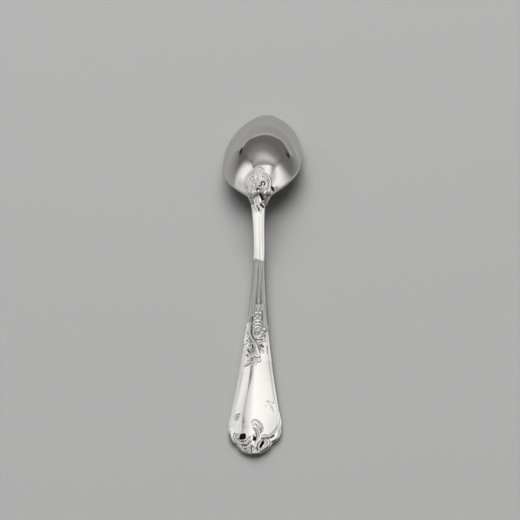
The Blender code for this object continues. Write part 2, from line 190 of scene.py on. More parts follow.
def dome(share):
    return (1 - share**2) * (1 + 0.2 * share**2)


def bowl_back(x, y):
    share = np.clip(np.abs(x) / bowl_half(y), 0, 1)
    return rim_height(y) + RIM_EDGE + bowl_rise(y) * dome(share)


def handle_front(y):
    blade = BLADE_SLOPE * (y - LIFT_Y)
    neck = rim_height(NECK_Y) - NECK_SLOPE * (NECK_Y - y)
    return -least(0 * y, least(-blade, -neck, BEND_BLEND), 0.00008)


def crown(x, y, share):
    """How much lower the back lies off the middle: little on the stem, most on the blade's left."""
    stem = ramp(y, -0.040, 0.018)
    blade = np.where(x > 0, 0.14 * CROWN, CROWN)
    neck = ramp(y, 0.018, 0.005)
    corner = CORNER_FALL * ramp(-y, 0.056, 0.006) * share**6
    return (blade * (1 - stem) + (STEM_CROWN + 0.13 * neck) * stem) * share**2 + corner


def swell(x, y):
    """A shallow swelling of the right side where the stem opens into the blade."""
    along = np.interp(y, [-0.037, -0.0260, -0.0250, -0.015], [0.0, 1.0, 1.0, 0.0])
    return SIDE_SWELL * along * ramp(x, 0.0008, 0.0012)


def handle_thickness(y):
    along = (y - END_Y) / (NECK_Y - END_Y)
    return END_THICKNESS + (NECK_THICKNESS - END_THICKNESS) * along


def handle_back(x, y):
    share = np.clip(np.abs(x) / handle_half(y), 0, 1)
    return handle_front(y) + handle_thickness(y) * (1 - crown(x, y, share)) + swell(x, y)


print("crest of the bowl:", round(float(bowl_back(0.0, 0.047)) * 1e3, 2), "mm over the table")

# %% [markdown]
# ## A small helper for node trees
# Shaders and Geometry Nodes are both trees of sockets, and sums of sockets read best as
# sums. This class wraps one socket: its operators add Math nodes, and its one method
# makes any other node, with the node's settings first and its inputs after.

# %% Sockets that can be added and scaled


class Net:
    """A socket of a node tree; arithmetic on it adds nodes to the tree."""

    def __init__(self, tree, socket=None):
        self.tree, self.socket = tree, socket

    def make(self, kind, settings=None, inputs=None, out=0):
        node = self.tree.nodes.new(kind)
        for name, value in (settings or {}).items():
            setattr(node, name, value)
        for key, value in (inputs or {}).items():
            if isinstance(value, Net):
                self.tree.links.new(value.socket, node.inputs[key])
            else:
                node.inputs[key].default_value = value
        return Net(self.tree, node.outputs[out] if node.outputs else None)

    def math(self, operation, first, second=0.0, third=0.0):
        inputs = {0: first, 1: second, 2: third}
        return self.make("ShaderNodeMath", {"operation": operation}, inputs)

    def __add__(self, other):
        return self.math("ADD", self, other)

    def __radd__(self, other):
        return self.math("ADD", other, self)

    def __sub__(self, other):
        return self.math("SUBTRACT", self, other)

    def __rsub__(self, other):
        return self.math("SUBTRACT", other, self)

    def __mul__(self, other):
        return self.math("MULTIPLY", self, other)

    def __rmul__(self, other):
        return self.math("MULTIPLY", other, self)

    def __truediv__(self, other):
        return self.math("DIVIDE", self, other)

    def __rtruediv__(self, other):
        return self.math("DIVIDE", other, self)

    def __pow__(self, other):
        return self.math("POWER", self, other)

    def clipped(self, low=0.0, high=1.0):
        return self.math("MINIMUM", self.math("MAXIMUM", self, low), high)


def empty_net(owner):
    """The emptied node tree of a new material or world."""
    owner.use_nodes = True
    owner.node_tree.nodes.clear()
    return Net(owner.node_tree)


print("node helper ready")

# %% [markdown]
# ## Silver
# Polished silver is nearly colourless and slightly warm. What tells it from a plain
# mirror is its wear: hairlines left by cloths, run mostly along the spoon, a faint
# waviness left by planishing, and a brown-black sulphide that stays in the recesses
# where no cloth reaches. The attribute "nook" says how deep in a recess a point lies;
# where it is high the colour is painted near black, partly sulphide, partly painted shade.

# %% Silver material


def silver(name, tint, polish, wave, sulphide_shade_strength, worn=0.0):
    material = bpy.data.materials.new(name)
    net = empty_net(material)
    place = net.make("ShaderNodeTexCoord", out="Object")
    nook = net.make("ShaderNodeAttribute", {"attribute_name": "nook"}, out="Fac")
    along = net.make("ShaderNodeMapping", inputs={"Vector": place, "Scale": (9000.0, 420.0, 9000.0)})
    hair = net.make("ShaderNodeTexNoise", inputs={"Vector": along, "Scale": 1.0, "Detail": 3.0})
    cross = net.make("ShaderNodeMapping", inputs={"Vector": place, "Rotation": (0.0, 0.0, 0.7),
                                                  "Scale": (6000.0, 500.0, 6000.0)})
    swirl = net.make("ShaderNodeTexNoise", inputs={"Vector": cross, "Scale": 1.0, "Detail": 2.0})
    cloud = net.make("ShaderNodeTexNoise", inputs={"Vector": place, "Scale": 260.0, "Detail": 4.0})
    planish = net.make("ShaderNodeTexNoise", inputs={"Vector": place, "Scale": 150.0, "Detail": 1.0})
    marks = hair - 0.5 + (swirl - 0.5) * 0.6
    station = net.make("ShaderNodeSeparateXYZ", inputs={0: place}, out=1) * 1000.0
    grip = ((station + 42.0) / 4.0).clipped() * ((-8.0 - station) / 4.0).clipped()
    # Darkening where the nook value is high: partly sulphide, partly painted shade of recesses and
    # creases.
    sulphide_and_shade = (nook * (0.95 + (cloud - 0.5) * 0.8)).clipped() * sulphide_shade_strength
    rough = (polish + grip * worn + (cloud - 0.45) * 0.05 + marks * 0.04 + sulphide_and_shade * 0.30).clipped(0.03, 0.8)
    warm = net.make("ShaderNodeMix", {"data_type": "RGBA"},
                    {"Factor": (cloud * 0.5).clipped(), 6: (*tint, 1.0),
                     7: (tint[0], tint[1] * 0.985, tint[2] * 0.955, 1.0)}, out=2)
    colour = net.make("ShaderNodeMix", {"data_type": "RGBA"},
                      {"Factor": sulphide_and_shade, 6: warm, 7: (0.012, 0.009, 0.007, 1.0)}, out=2)
    fine = net.make("ShaderNodeBump", inputs={"Strength": 0.25, "Distance": 0.000004, "Height": marks})
    bump = net.make("ShaderNodeBump",
                    inputs={"Strength": 1.0, "Distance": wave, "Height": planish, "Normal": fine})
    shader = net.make("ShaderNodeBsdfPrincipled",
                      inputs={"Base Color": colour, "Metallic": 1.0, "Roughness": rough, "Normal": bump})
    net.make("ShaderNodeOutputMaterial", inputs={"Surface": shader})
    print("material", name, "with", len(net.tree.nodes), "nodes")
    return material


BOWL_SILVER = silver("bowl_silver", (0.93, 0.922, 0.905), 0.055, 0.000012, 0.99)
HANDLE_SILVER = silver("handle_silver", (0.93, 0.922, 0.905), 0.060, 0.000008, 0.99)
ORNAMENT_SILVER = silver("ornament_silver", (0.93, 0.920, 0.900), 0.085, 0.000003, 0.95, 0.070)

# %% [markdown]
# ## Bowl
# A bowl like this is raised from sheet: the back is one smooth dome, deepest near its
# middle and widest a little behind it, and the edge is filed round. Each row of points
# below runs round one section of the dome, from the inside of one rim edge over the back
# to the other, so the rounded edges catch a line of light. Rings then close the flat rim
# and the hollow.

# %% Section rows and meshes


def add_mesh(name, points, faces, material):
    mesh = bpy.data.meshes.new(name)
    mesh.from_pydata(np.asarray(points, float).tolist(), [], [list(map(int, f)) for f in faces])
    mesh.validate()
    mesh.shade_smooth()
    mesh.set_sharp_from_angle(angle=math.radians(38))
    mesh.materials.append(material)
    return add_object(name, mesh)


def section_rows(y, half, back, low, edge, columns):
    """Points of every row: under edge, rounded edge, back and the same down the far side."""
    step = np.array([0.0, 0.3, 0.65, 1.0])[None, :]
    y, half, low = y[:, None], half[:, None], low[:, None]
    reach = np.minimum(edge, 0.45 * half)
    across = np.sin(np.linspace(-np.pi / 2, np.pi / 2, columns))[None, :]
    x = across * (half - reach)
    z = back(x, y)
    start, corner = back(half - reach, y), back(half, y)
    drop = np.minimum(edge, 0.45 * (corner - low))
    over_x = (1 - step) ** 2 * (half - reach) + (1 - (1 - step) ** 2) * half
    over_z = (1 - step) ** 2 * start + 2 * step * (1 - step) * corner + step**2 * (corner - drop)
    under_x = (1 - step**2) * half + step**2 * (half - reach)
    under_z = (1 - step) ** 2 * (low + drop) + (1 - (1 - step) ** 2) * low
    right_x = np.concatenate([over_x[:, 1:], under_x], 1)
    right_z = np.concatenate([over_z[:, 1:], under_z], 1)
    all_x = np.concatenate([-right_x[:, ::-1], x, right_x], 1)
    all_z = np.concatenate([right_z[:, ::-1], z, right_z], 1)
    return np.stack([all_x, y + 0 * all_x, all_z], -1)


def sheet(rows):
    """Point numbers and faces of rows that run from the left under edge to the right one."""
    count, width = rows.shape[:2]
    number = np.arange(count * width).reshape(count, width)
    faces = [(number[i, j], number[i, j + 1], number[i + 1, j + 1], number[i + 1, j])
             for i in range(count - 1) for j in range(width - 1)]
    faces += [tuple(number[0, ::-1]), tuple(number[-1])]
    return number, faces


print("section rows ready")

# %% [markdown]
# The rows crowd towards the tip, where the outline turns fastest. Under the dome the rim
# is left as a narrow flat, and rings then follow the hollow in towards its middle.

# %% Bowl
BOWL_ROWS, BOWL_COLUMNS, TIP_ROWS = 230, 121, 24
BOWL_ROUNDING, HOLLOW_RAMP = 0.00032, 0.006


def make_bowl():
    even = np.linspace(0, 1, BOWL_ROWS)
    ease = np.sin(np.linspace(0, np.pi / 2, BOWL_ROWS)) * 0.5 + even * 0.5
    ease[-TIP_ROWS:] = 1 - (1 - ease[-TIP_ROWS]) * np.linspace(1, 0, TIP_ROWS) ** 2
    y = TAB_Y + (TIP_Y - TAB_Y) * ease
    rows = section_rows(y, bowl_half(y), bowl_back, rim_height(y), BOWL_ROUNDING, BOWL_COLUMNS)
    number, faces = sheet(rows)
    points = list(rows.reshape(-1, 3))
    start_y, stop_y = HOLLOW_Y, TIP_Y - RIM_FLAT
    inner_y = start_y + (stop_y - start_y) * ease
    inner_half = hollow_half(inner_y)
    left, right = rows[:, 0], rows[:, -1]
    outer = np.concatenate([left, right[::-1]])
    inner = np.concatenate([np.stack([-inner_half, inner_y], 1),
                            np.stack([inner_half, inner_y], 1)[::-1]])
    ring = np.concatenate([number[:, 0], number[::-1, -1]])
    middle = np.array([0.0, 0.5 * (start_y + stop_y)])
    for share in (0.5, 1.0, 1.03, 1.08, 1.15, 1.25, 1.35, 1.45, 1.55, 1.65, 1.75, 1.85, 1.95):
        if share <= 1:
            plan = outer[:, :2] * (1 - share) + inner * share
            hollow = 0 * plan[:, 0]
        else:
            plan = inner * (2 - share) + middle * (share - 1)
            width = np.interp(plan[:, 1], inner_y, inner_half)
            inward = ramp(plan[:, 1], start_y, HOLLOW_RAMP)
            depth = (bowl_rise(plan[:, 1]) + RIM_EDGE - BOWL_WALL) * np.sqrt(inward * (2 - inward))
            hollow = depth * dome(np.clip(np.abs(plan[:, 0]) / width, 0, 1))
        fresh = len(points) + np.arange(len(plan))
        points += list(np.column_stack([plan, rim_height(plan[:, 1]) + hollow]))
        for k in range(len(plan)):
            after = (k + 1) % len(plan)
            faces.append((ring[k], ring[after], fresh[after], fresh[k]))
        ring = fresh
    points.append((*middle, rim_height(middle[1]) + bowl_rise(middle[1]) + RIM_EDGE - BOWL_WALL))
    for k in range(len(ring)):
        faces.append((ring[k], ring[(k + 1) % len(ring)], len(points) - 1))
    return add_mesh("bowl_back", points, faces, BOWL_SILVER)


BOWL = make_bowl()
print("bowl:", len(BOWL.data.vertices), "points")

# %% [markdown]
# ## Cuts, hollows, and stains that are partly painted shade
# Hollows were punched beside the scrolls at the end, two flutes run down the stem, and
# short graver cuts part the leaves. Each cut is a path in millimetres with a half width
# and a depth. The stains are paths too: dark marks between the ribs of the heel and in
# the folds of the neck, partly the sulphide that stays where no cloth reaches and partly
# painted shade of deep relief that is not modelled.

# %% Cuts, and stains that are partly painted shade
# A cut this deep counts as a hollow; its bottom is painted black, partly sulphide and partly painted
# shade.
HOLLOW_DEPTH = 0.4  # a cut this deep is black at its bottom, as a hollow is
HOLLOWS = [(-3.75, -63.85, 1.02, 1.12, 0.70), (0.05, -64.9, 0.48, 0.80, 0.50)]
# Path, half width and depth of each graver cut: the end, the middle, the spray and the sprig
CUTS = [([(2.15, -67.8), (2.45, -67.1), (2.75, -66.4)], 0.46, 0.50),
    ([(-5.1, -64.45), (-4.4, -64.2)], 0.22, 0.30),
    ([(0.55, -62.7), (0.62, -63.6), (0.5, -64.4)], 0.16, 0.25),
    ([(-0.35, -63.6), (-0.2, -64.3)], 0.15, 0.20),
    ([(-4.3, -65.35), (-3.3, -65.55), (-2.4, -65.25)], 0.17, 0.20),
    ([(-3.8, -66.8), (-2.7, -66.95), (-2.0, -66.9), (-1.65, -66.1)], 0.20, 0.22),
    ([(-3.2, -68.25), (-2.5, -68.35)], 0.15, 0.15),
    ([(-0.85, -67.2), (-0.8, -68.4), (-0.75, -69.6)], 0.17, 0.20),
    ([(1.6, -66.1), (1.15, -66.9), (0.95, -68.1), (1.25, -69.3)], 0.16, 0.20),
    ([(2.9, -64.8), (3.0, -65.3), (3.02, -66.0)], 0.14, 0.20),
    ([(4.15, -66.3), (4.1, -67.1)], 0.14, 0.15),
    ([(2.4, -64.85), (3.2, -64.75), (4.3, -64.95), (5.4, -64.75), (6.2, -64.0)], 0.22, 0.22),
    ([(2.1, -60.9), (2.15, -61.8), (1.9, -62.8)], 0.14, 0.15),
    ([(-0.3, -60.9), (0.2, -61.5), (0.45, -62.3)], 0.15, 0.16),
    ([(-1.7, -19.4), (-1.75, -21.0), (-1.8, -23.5), (-1.75, -26.0)], 0.25, 0.22),
    ([(-1.75, -26.0), (-1.5, -27.2), (-0.9, -28.25), (0.0, -28.7), (1.0, -28.65), (1.65, -28.85)],
        0.17, 0.22),
    ([(1.55, -17.3), (1.6, -19.0), (1.55, -20.6)], 0.14, 0.11),
    ([(1.2, -22.0), (1.6, -22.3)], 0.16, 0.18),
    ([(-1.1, -21.95), (0.0, -21.9), (1.0, -21.9)], 0.13, 0.16),
    ([(-0.5, -23.2), (0.2, -23.1), (0.9, -23.25)], 0.13, 0.16),
    ([(1.6, -24.85), (1.2, -25.4), (0.5, -26.05)], 0.17, 0.20),
    ([(-0.75, -25.4), (-0.65, -26.2)], 0.18, 0.16), ([(2.35, -26.0), (2.75, -26.0)], 0.20, 0.30),
    ([(1.65, -27.7), (1.9, -27.4), (2.5, -27.35), (2.75, -27.8)], 0.15, 0.20),
    ([(0.5, -29.75), (1.2, -29.75)], 0.12, 0.16),
    ([(1.15, -30.75), (1.7, -30.9), (2.2, -31.5)], 0.28, 0.25),
    ([(3.45, -31.4), (3.5, -33.6)], 0.20, 0.20), ([(-2.5, -27.4), (-2.6, -27.7)], 0.22, 0.20),
    ([(-3.2, -28.5), (-3.0, -28.7)], 0.24, 0.25), ([(-1.4, -30.2), (-1.25, -31.4)], 0.24, 0.22),
    ([(-2.9, -32.0), (-2.5, -32.6), (-2.1, -33.4)], 0.28, 0.28),
    ([(-3.2, -33.9), (-2.9, -34.3)], 0.24, 0.25),
    ([(-1.6, -35.5), (-0.9, -35.1), (-0.4, -34.95)], 0.16, 0.20),
    ([(0.1, -35.4), (0.7, -35.45), (1.15, -35.1)], 0.17, 0.22),
    ([(-2.85, -36.1), (-2.65, -36.15)], 0.17, 0.20),
    ([(-3.7, -38.1), (-2.9, -37.8), (-2.2, -37.4), (-1.2, -37.2)], 0.20, 0.20),
    ([(0.2, -37.0), (0.9, -36.95), (1.4, -36.75)], 0.12, 0.12),
    ([(-6.8, -56.1), (-5.95, -55.65), (-4.9, -55.6)], 0.11, 0.12),
    ([(-6.5, -56.85), (-5.9, -56.5), (-5.1, -56.45)], 0.10, 0.10),
    ([(-6.35, -57.7), (-5.8, -57.3), (-5.3, -57.1)], 0.10, 0.08)]
FLUTES = [([(-0.4, 2.0), (-0.45, -14.6)], 0.34, 0.15), ([(0.95, 2.0), (1.0, -14.6)], 0.36, 0.15)]
# Path, half width and depth of colour of each stain; the stains are partly sulphide and partly painted
# shade of deep relief
STAINS_AND_SHADE = [
    ([(0.92, 29.5), (0.92, 30.5), (1.25, 30.95), (1.8, 30.9), (2.15, 30.4), (2.0, 29.9)], 0.33, 1.0),
    ([(0.15, 29.4), (0.8, 29.6)], 0.30, 0.9), ([(-0.45, 28.5), (-0.42, 27.4)], 0.36, 1.1),
    ([(-0.3, 28.5), (0.5, 28.3), (0.5, 27.7)], 0.28, 1.0), ([(1.0, 28.3), (1.05, 27.8)], 0.22, 0.7),
    ([(3.1, 31.9), (3.35, 30.9), (3.3, 29.8), (3.0, 28.8)], 0.22, 0.6),
    ([(-4.2, 30.6), (-3.95, 29.5)], 0.2, 0.6), ([(-0.9, 30.6), (-0.95, 29.7)], 0.22, 0.7),
    ([(-2.6, 30.2), (-2.3, 29.4)], 0.18, 0.45), ([(1.9, 26.3), (2.7, 26.4), (3.6, 27.2)], 0.42, 0.85),
    ([(4.5, 29.55), (4.65, 29.25)], 0.60, 1.35), ([(5.5, 29.9), (6.1, 30.3)], 0.5, 0.45),
    ([(-3.0, 26.2), (-2.0, 25.7)], 0.40, 0.6), ([(0.75, 25.6), (1.1, 25.0)], 0.50, 1.2),
    ([(1.2, 24.6), (1.6, 23.5)], 0.56, 1.3), ([(1.0, 21.5), (1.75, 20.7)], 0.46, 1.15),
    ([(0.15, 20.3), (0.25, 19.7)], 0.38, 1.05), ([(-0.35, 21.3), (-0.2, 20.7)], 0.30, 0.95),
    ([(-1.75, 23.0), (-1.4, 21.7)], 0.26, 0.75)]


def along_path(path, x, y):
    """Square of the distance to a path in millimetres."""
    best = 1e9 + 0.0 * (x + y)
    for (ax, ay), (bx, by) in zip(path, path[1:]):
        length = (bx - ax) ** 2 + (by - ay) ** 2
        t = np.clip(((x / MM - ax) * (bx - ax) + (y / MM - ay) * (by - ay)) / length, 0, 1)
        best = np.minimum(best, (x / MM - ax - t * (bx - ax)) ** 2 + (y / MM - ay - t * (by - ay)) ** 2)
    return best


def cut_share(x, y):
    """How deep each point lies in a hollow, and how deep in a cut, in millimetres."""
    hollow, groove = 0.0 * (x + y), 0.0 * (x + y)
    for at_x, at_y, wide, long, deep in HOLLOWS:
        away = np.abs((x / MM - at_x) / wide) ** 3 + np.abs((y / MM - at_y) / long) ** 3
        hollow = np.maximum(hollow, deep * np.clip(1 - away, 0, 1))
    for path, half, deep in CUTS:
        inside = deep * np.clip(1 - along_path(path, x, y) / half**2, 0, 1)
        if deep < HOLLOW_DEPTH:
            groove = np.maximum(groove, inside)
        else:
            hollow = np.maximum(hollow, inside)
    fade = ramp(-y / MM, -1.0, 15.0)
    for path, half, deep in FLUTES:
        groove = np.maximum(groove, fade * deep * np.clip(1 - along_path(path, x, y) / half**2, 0, 1))
    return hollow, groove


# Painted darkening along the stain paths: partly sulphide, partly painted shade of deep relief.
def stain_and_shade(x, y):
    value = 0.0 * (x + y)
    for path, half, depth in STAINS_AND_SHADE:
        value = np.maximum(value, depth * np.clip(1.5 - 1.5 * along_path(path, x, y) / half**2, 0, 1))
    return value


print("graver cuts:", len(CUTS), "stains:", len(STAINS_AND_SHADE))

# %% [markdown]
# ## Handle
# The handle is forged from bar: a crowned section that waists at the stem and spreads to
# the blade. Its neck ends in a tongue that laps on to the bowl, where the strain is
# greatest. It is made of rows like the bowl, with the cuts sunk into its back.

# %% Handle
TONGUE_LENGTH = 0.0045
TONGUE_Y = TAB_Y - 0.00025 + TONGUE_LENGTH
TONGUE_HALF, TONGUE_STEP, TONGUE_RISE = 0.00262, 0.00030, 0.0008
JOINT_BLEND, LAP_SLOPE = 0.0009, 0.236
HANDLE_ROWS, END_ROWS, HANDLE_COLUMNS, HANDLE_ROUNDING = 700, 12, 111, 0.00012


def tongue_half(y):
    flush = ramp(y - NECK_Y, 0.0014, 0.0016)
    tongue = TONGUE_HALF - TONGUE_STEP * flush * flush * (3 - 2 * flush)
    tongue = tongue * (1 - 0.25 * ramp(y, NECK_Y, TONGUE_LENGTH) ** 3)
    return np.where(y > NECK_Y, np.minimum(handle_half(y), tongue), handle_half(y))


def bend_lead(x, y):
    """The stem is filed a touch askew, so its bend starts earlier on the right."""
    near = ramp(-y, -0.009, 0.004) * ramp(y, -0.012, 0.008)
    return near * (0.35 * np.clip(x, -0.002, 0.002) - 0.0005)


def handle_top(x, y):
    share = np.clip(np.abs(x) / tongue_half(y), 0, 1)
    stem_y = np.minimum(y, NECK_Y + JOINT_BLEND)
    stem = handle_thickness(stem_y) * (1 - crown(x, stem_y, share))
    stem = handle_front(stem_y + bend_lead(x, stem_y)) + stem + swell(x, y)
    early = LAP_SLOPE * np.clip(TAB_Y - y, 0, None)
    root = handle_front(NECK_Y) + NECK_THICKNESS + LAP_SLOPE * (TAB_Y - NECK_Y)
    root = root - bowl_back(0.0, TAB_Y)
    past = ramp(y, NECK_Y, TONGUE_LENGTH) ** 3
    rise = (root * (1 - past) + TONGUE_RISE * past) * (1 - 0.5 * share**2)
    lap = bowl_back(0.6 * x, np.maximum(y, TAB_Y)) - early + rise
    blend = np.clip((y - NECK_Y) / JOINT_BLEND * 0.5 + 0.5, 0, 1)
    blend = blend * blend * (3 - 2 * blend)
    back = stem * (1 - blend) + lap * blend
    hollow, groove = cut_share(x, y)
    return back - np.maximum(hollow, groove) * MM


def make_handle():
    fine = np.linspace(END_Y, TONGUE_Y, HANDLE_ROWS)
    near_end = END_Y + 0.0012 * np.linspace(0, 1, END_ROWS) ** 2
    y = np.unique(np.concatenate([near_end, fine[fine > near_end[-1]]]))
    half = tongue_half(y)
    under = np.where(y < NECK_Y + 0.0003, handle_front(np.minimum(y, NECK_Y)),
                     bowl_back(half, np.maximum(y, TAB_Y)) - 0.0002)
    rows = section_rows(y, half, handle_top, under, HANDLE_ROUNDING, HANDLE_COLUMNS)
    number, faces = sheet(rows)
    for i in range(len(y) - 1):
        faces.append((number[i, 0], number[i + 1, 0], number[i + 1, -1], number[i, -1]))
    return add_mesh("handle_blade", rows.reshape(-1, 3), faces, HANDLE_SILVER)


HANDLE = make_handle()
print("handle:", len(HANDLE.data.vertices), "points")

# %% [markdown]
# ## Strokes laid on the backs
# All the ornament is made the way an engraver or a wire worker thinks of it: as strokes
# with a path, a width and a height. One Geometry Nodes tree turns any set of strokes into
# metal: each path becomes a tube, and every point of the tube is dropped straight down on
# to the backs of the bowl and the handle, so that a stroke follows the surface under it.

# %% The stroke tree


def stroke_tree():
    tree = bpy.data.node_groups.new("laid_strokes", "GeometryNodeTree")
    for name, kind in (("Strokes", "Geometry"), ("Ground", "Object"), ("Points Round", "Int"),
                       ("Sink", "Float"), ("Skew", "Float"), ("Soot", "Float"), ("Silver", "Material")):
        tree.interface.new_socket(name, in_out="INPUT", socket_type="NodeSocket" + kind)
    tree.interface.new_socket("Metal", in_out="OUTPUT", socket_type="NodeSocketGeometry")
    net = Net(tree)
    entry = tree.nodes.new("NodeGroupInput")
    given = {socket.name: Net(tree, socket) for socket in entry.outputs if socket.name}

    def keep(geometry, kind, name, value):
        settings = {"data_type": kind, "domain": "POINT"}
        return net.make("GeometryNodeStoreNamedAttribute", settings,
                        {"Geometry": geometry, "Name": name, "Value": value})

    def kept(kind, name):
        return net.make("GeometryNodeInputNamedAttribute", {"data_type": kind}, {"Name": name})

    def vector(operation, first, second, out=0):
        inputs = {0: first, ("Scale" if operation == "SCALE" else 1): second}
        return net.make("ShaderNodeVectorMath", {"operation": operation}, inputs, out)

    paths = net.make("GeometryNodeMeshToCurve", inputs={"Mesh": given["Strokes"]})
    paths = keep(paths, "FLOAT_VECTOR", "spine", net.make("GeometryNodeInputPosition"))
    paths = keep(paths, "FLOAT_VECTOR", "run", net.make("GeometryNodeInputTangent"))
    ring = net.make("GeometryNodeCurvePrimitiveCircle",
                    inputs={"Resolution": given["Points Round"], "Radius": 0.0003})
    turn = net.make("GeometryNodeInputIndex") * (2 * math.pi) / given["Points Round"]
    ring = keep(ring, "FLOAT", "turn", turn)
    tube = net.make("GeometryNodeCurveToMesh",
                    inputs={"Curve": paths, "Profile Curve": ring, "Fill Caps": True})
    side = vector("CROSS_PRODUCT", (0.0, 0.0, 1.0), kept("FLOAT_VECTOR", "run"))
    side = net.make("ShaderNodeVectorMath", {"operation": "NORMALIZE"}, {0: side})
    angle = kept("FLOAT", "turn")
    out = kept("FLOAT", "half") * net.math("COSINE", angle)
    height = net.math("SINE", angle)
    spot = vector("ADD", kept("FLOAT_VECTOR", "spine"), vector("SCALE", side, out))
    plan = vector("MULTIPLY", spot, (1.0, 1.0, 0.0))
    ground = net.make("GeometryNodeObjectInfo", inputs={"Object": given["Ground"]}, out="Geometry")
    ray = tree.nodes.new("GeometryNodeRaycast")
    tree.links.new(ground.socket, ray.inputs["Target Geometry"])
    tree.links.new(vector("ADD", plan, (0.0, 0.0, 0.05)).socket, ray.inputs["Source Position"])
    ray.inputs["Ray Direction"].default_value = (0.0, 0.0, -1.0)
    ray.inputs["Ray Length"].default_value = 0.1
    hit = net.make("ShaderNodeSeparateXYZ", inputs={0: Net(tree, ray.outputs["Hit Position"])}, out=2)
    spare = net.make("ShaderNodeSeparateXYZ", inputs={0: spot}, out=2)
    met = Net(tree, ray.outputs["Is Hit"])
    seat = net.make("GeometryNodeSwitch", {"input_type": "FLOAT"},
                    {"Switch": met, "False": spare, "True": hit})
    upper = net.math("MAXIMUM", height, 0.0)
    behind = net.make("ShaderNodeSeparateXYZ", inputs={0: vector("SCALE", side, out)}, out=1)
    lift = (kept("FLOAT", "rise") + given["Skew"] * behind) * upper
    lift = lift + given["Sink"] * net.math("MINIMUM", height, 0.0)
    place = vector("ADD", plan, net.make("ShaderNodeCombineXYZ", inputs={2: seat + lift}))
    laid = net.make("GeometryNodeSetPosition", inputs={"Geometry": tube, "Position": place})
    # Painted shade and sulphide along the foot of each stroke: the lower half of the tube gets a higher
    # nook value.
    laid = keep(laid, "FLOAT", "nook", (1.0 - upper * 2.6).clipped() ** 1.5 * given["Soot"])
    for name in ("spine", "run", "turn", "half", "rise"):
        laid = net.make("GeometryNodeRemoveAttribute", inputs={"Geometry": laid, "Name": name})
    laid = net.make("GeometryNodeSetShadeSmooth", inputs={"Geometry": laid})
    laid = net.make("GeometryNodeRealizeInstances", inputs={"Geometry": laid})
    laid = net.make("GeometryNodeSetMaterial", inputs={"Geometry": laid, "Material": given["Silver"]})
    last = tree.nodes.new("NodeGroupOutput")
    tree.links.new(laid.socket, last.inputs[0])
    return tree


STROKES = stroke_tree()
print("stroke tree:", len(STROKES.nodes), "nodes")

# %% [markdown]
# Before the strokes can be laid, the ground they lie on is gathered into one mesh, whose data is removed
# again once the bodies are marked.
# A stroke itself is a smooth curve through a few points in millimetres, with a half width
# at each of them. Its two ends are rounded off over about one half width, as a burnisher
# would leave them.

# %% Ground and stroke makers


def gather_ground():
    points, faces = [], []
    for piece in (BOWL, HANDLE):
        start = len(points)
        points += [tuple(v.co) for v in piece.data.vertices]
        faces += [tuple(start + k for k in polygon.vertices) for polygon in piece.data.polygons]
    mesh = bpy.data.meshes.new("ground")
    mesh.from_pydata(points, [], faces)
    return add_object("ground", mesh)


GROUND = gather_ground()
CURVE_STEPS, STROKE_STEP = 24, 0.2


def through(points):
    """A dense smooth curve through the points, with the place of each point along it."""
    p = np.asarray(points, float)
    p = np.concatenate([[2 * p[0] - p[1]], p, [2 * p[-1] - p[-2]]])
    t = np.linspace(0, 1, CURVE_STEPS, endpoint=False)[:, None]
    parts = []
    for a, b, c, d in zip(p, p[1:], p[2:], p[3:]):
        parts.append(0.5 * (2 * b + (c - a) * t + (2 * a - 5 * b + 4 * c - d) * t**2
                            + (3 * b - a - 3 * c + d) * t**3))
    curve = np.concatenate(parts + [p[-2:-1]])
    length = np.concatenate([[0], np.cumsum(np.linalg.norm(np.diff(curve, axis=0), axis=1))])
    return curve, length, length[::CURVE_STEPS]


def stroke(points, halves, rise):
    """One stroke through points in millimetres; halves and rise may change from point to point."""
    curve, length, knots = through(points)
    halves = np.broadcast_to(np.asarray(halves, float), (len(points),))
    rises = np.broadcast_to(np.asarray(rise, float), (len(points),))
    total, widest = length[-1], halves.max()
    turn = min(widest, total / 3)
    tip = np.array([0.02, 0.1, 0.25, 0.5, 0.8]) * turn
    even = np.linspace(0, total, max(8, int(total / STROKE_STEP)) + 1)
    at = np.unique(np.concatenate([even, tip, total - tip]))
    end = np.clip(np.minimum(at, total - at) / turn, 0, 1)
    round_off = np.sqrt(np.clip(1 - (1 - end) ** 2, 0.0004, 1))
    half = np.interp(at, knots, halves)
    lift = np.interp(at, knots, rises) * np.sqrt(np.clip(half / widest, 0, 1)) * round_off
    x, y = np.interp(at, length, curve[:, 0]), np.interp(at, length, curve[:, 1])
    return {"plan": np.column_stack([x, y]) * MM, "half": half * round_off * MM, "rise": lift * MM}


def leaf(points, half, rise):
    share = np.linspace(0, 1, len(points))
    return stroke(points, half * (0.25 + 0.75 * np.sin(np.pi * share**0.8)), rise)


def bead(x, y, half, rise):
    return stroke([(x, y - half), (x, y), (x, y + half)], half, rise)


print("ground faces:", len(GROUND.data.polygons))

# %% [markdown]
# To lay a piece, its paths become a mesh of bare edges that carries the half width and the
# height of every point. The tree runs on it as a modifier, the result is kept as a plain
# mesh, and the piece takes the place of its node. Where a lean is given, each stroke is
# highest at its upper end.

# %% Laying a piece of ornament
LAID = []
SKEW, SINK, POINTS_ROUND = 0.38, 0.22 * MM, 14
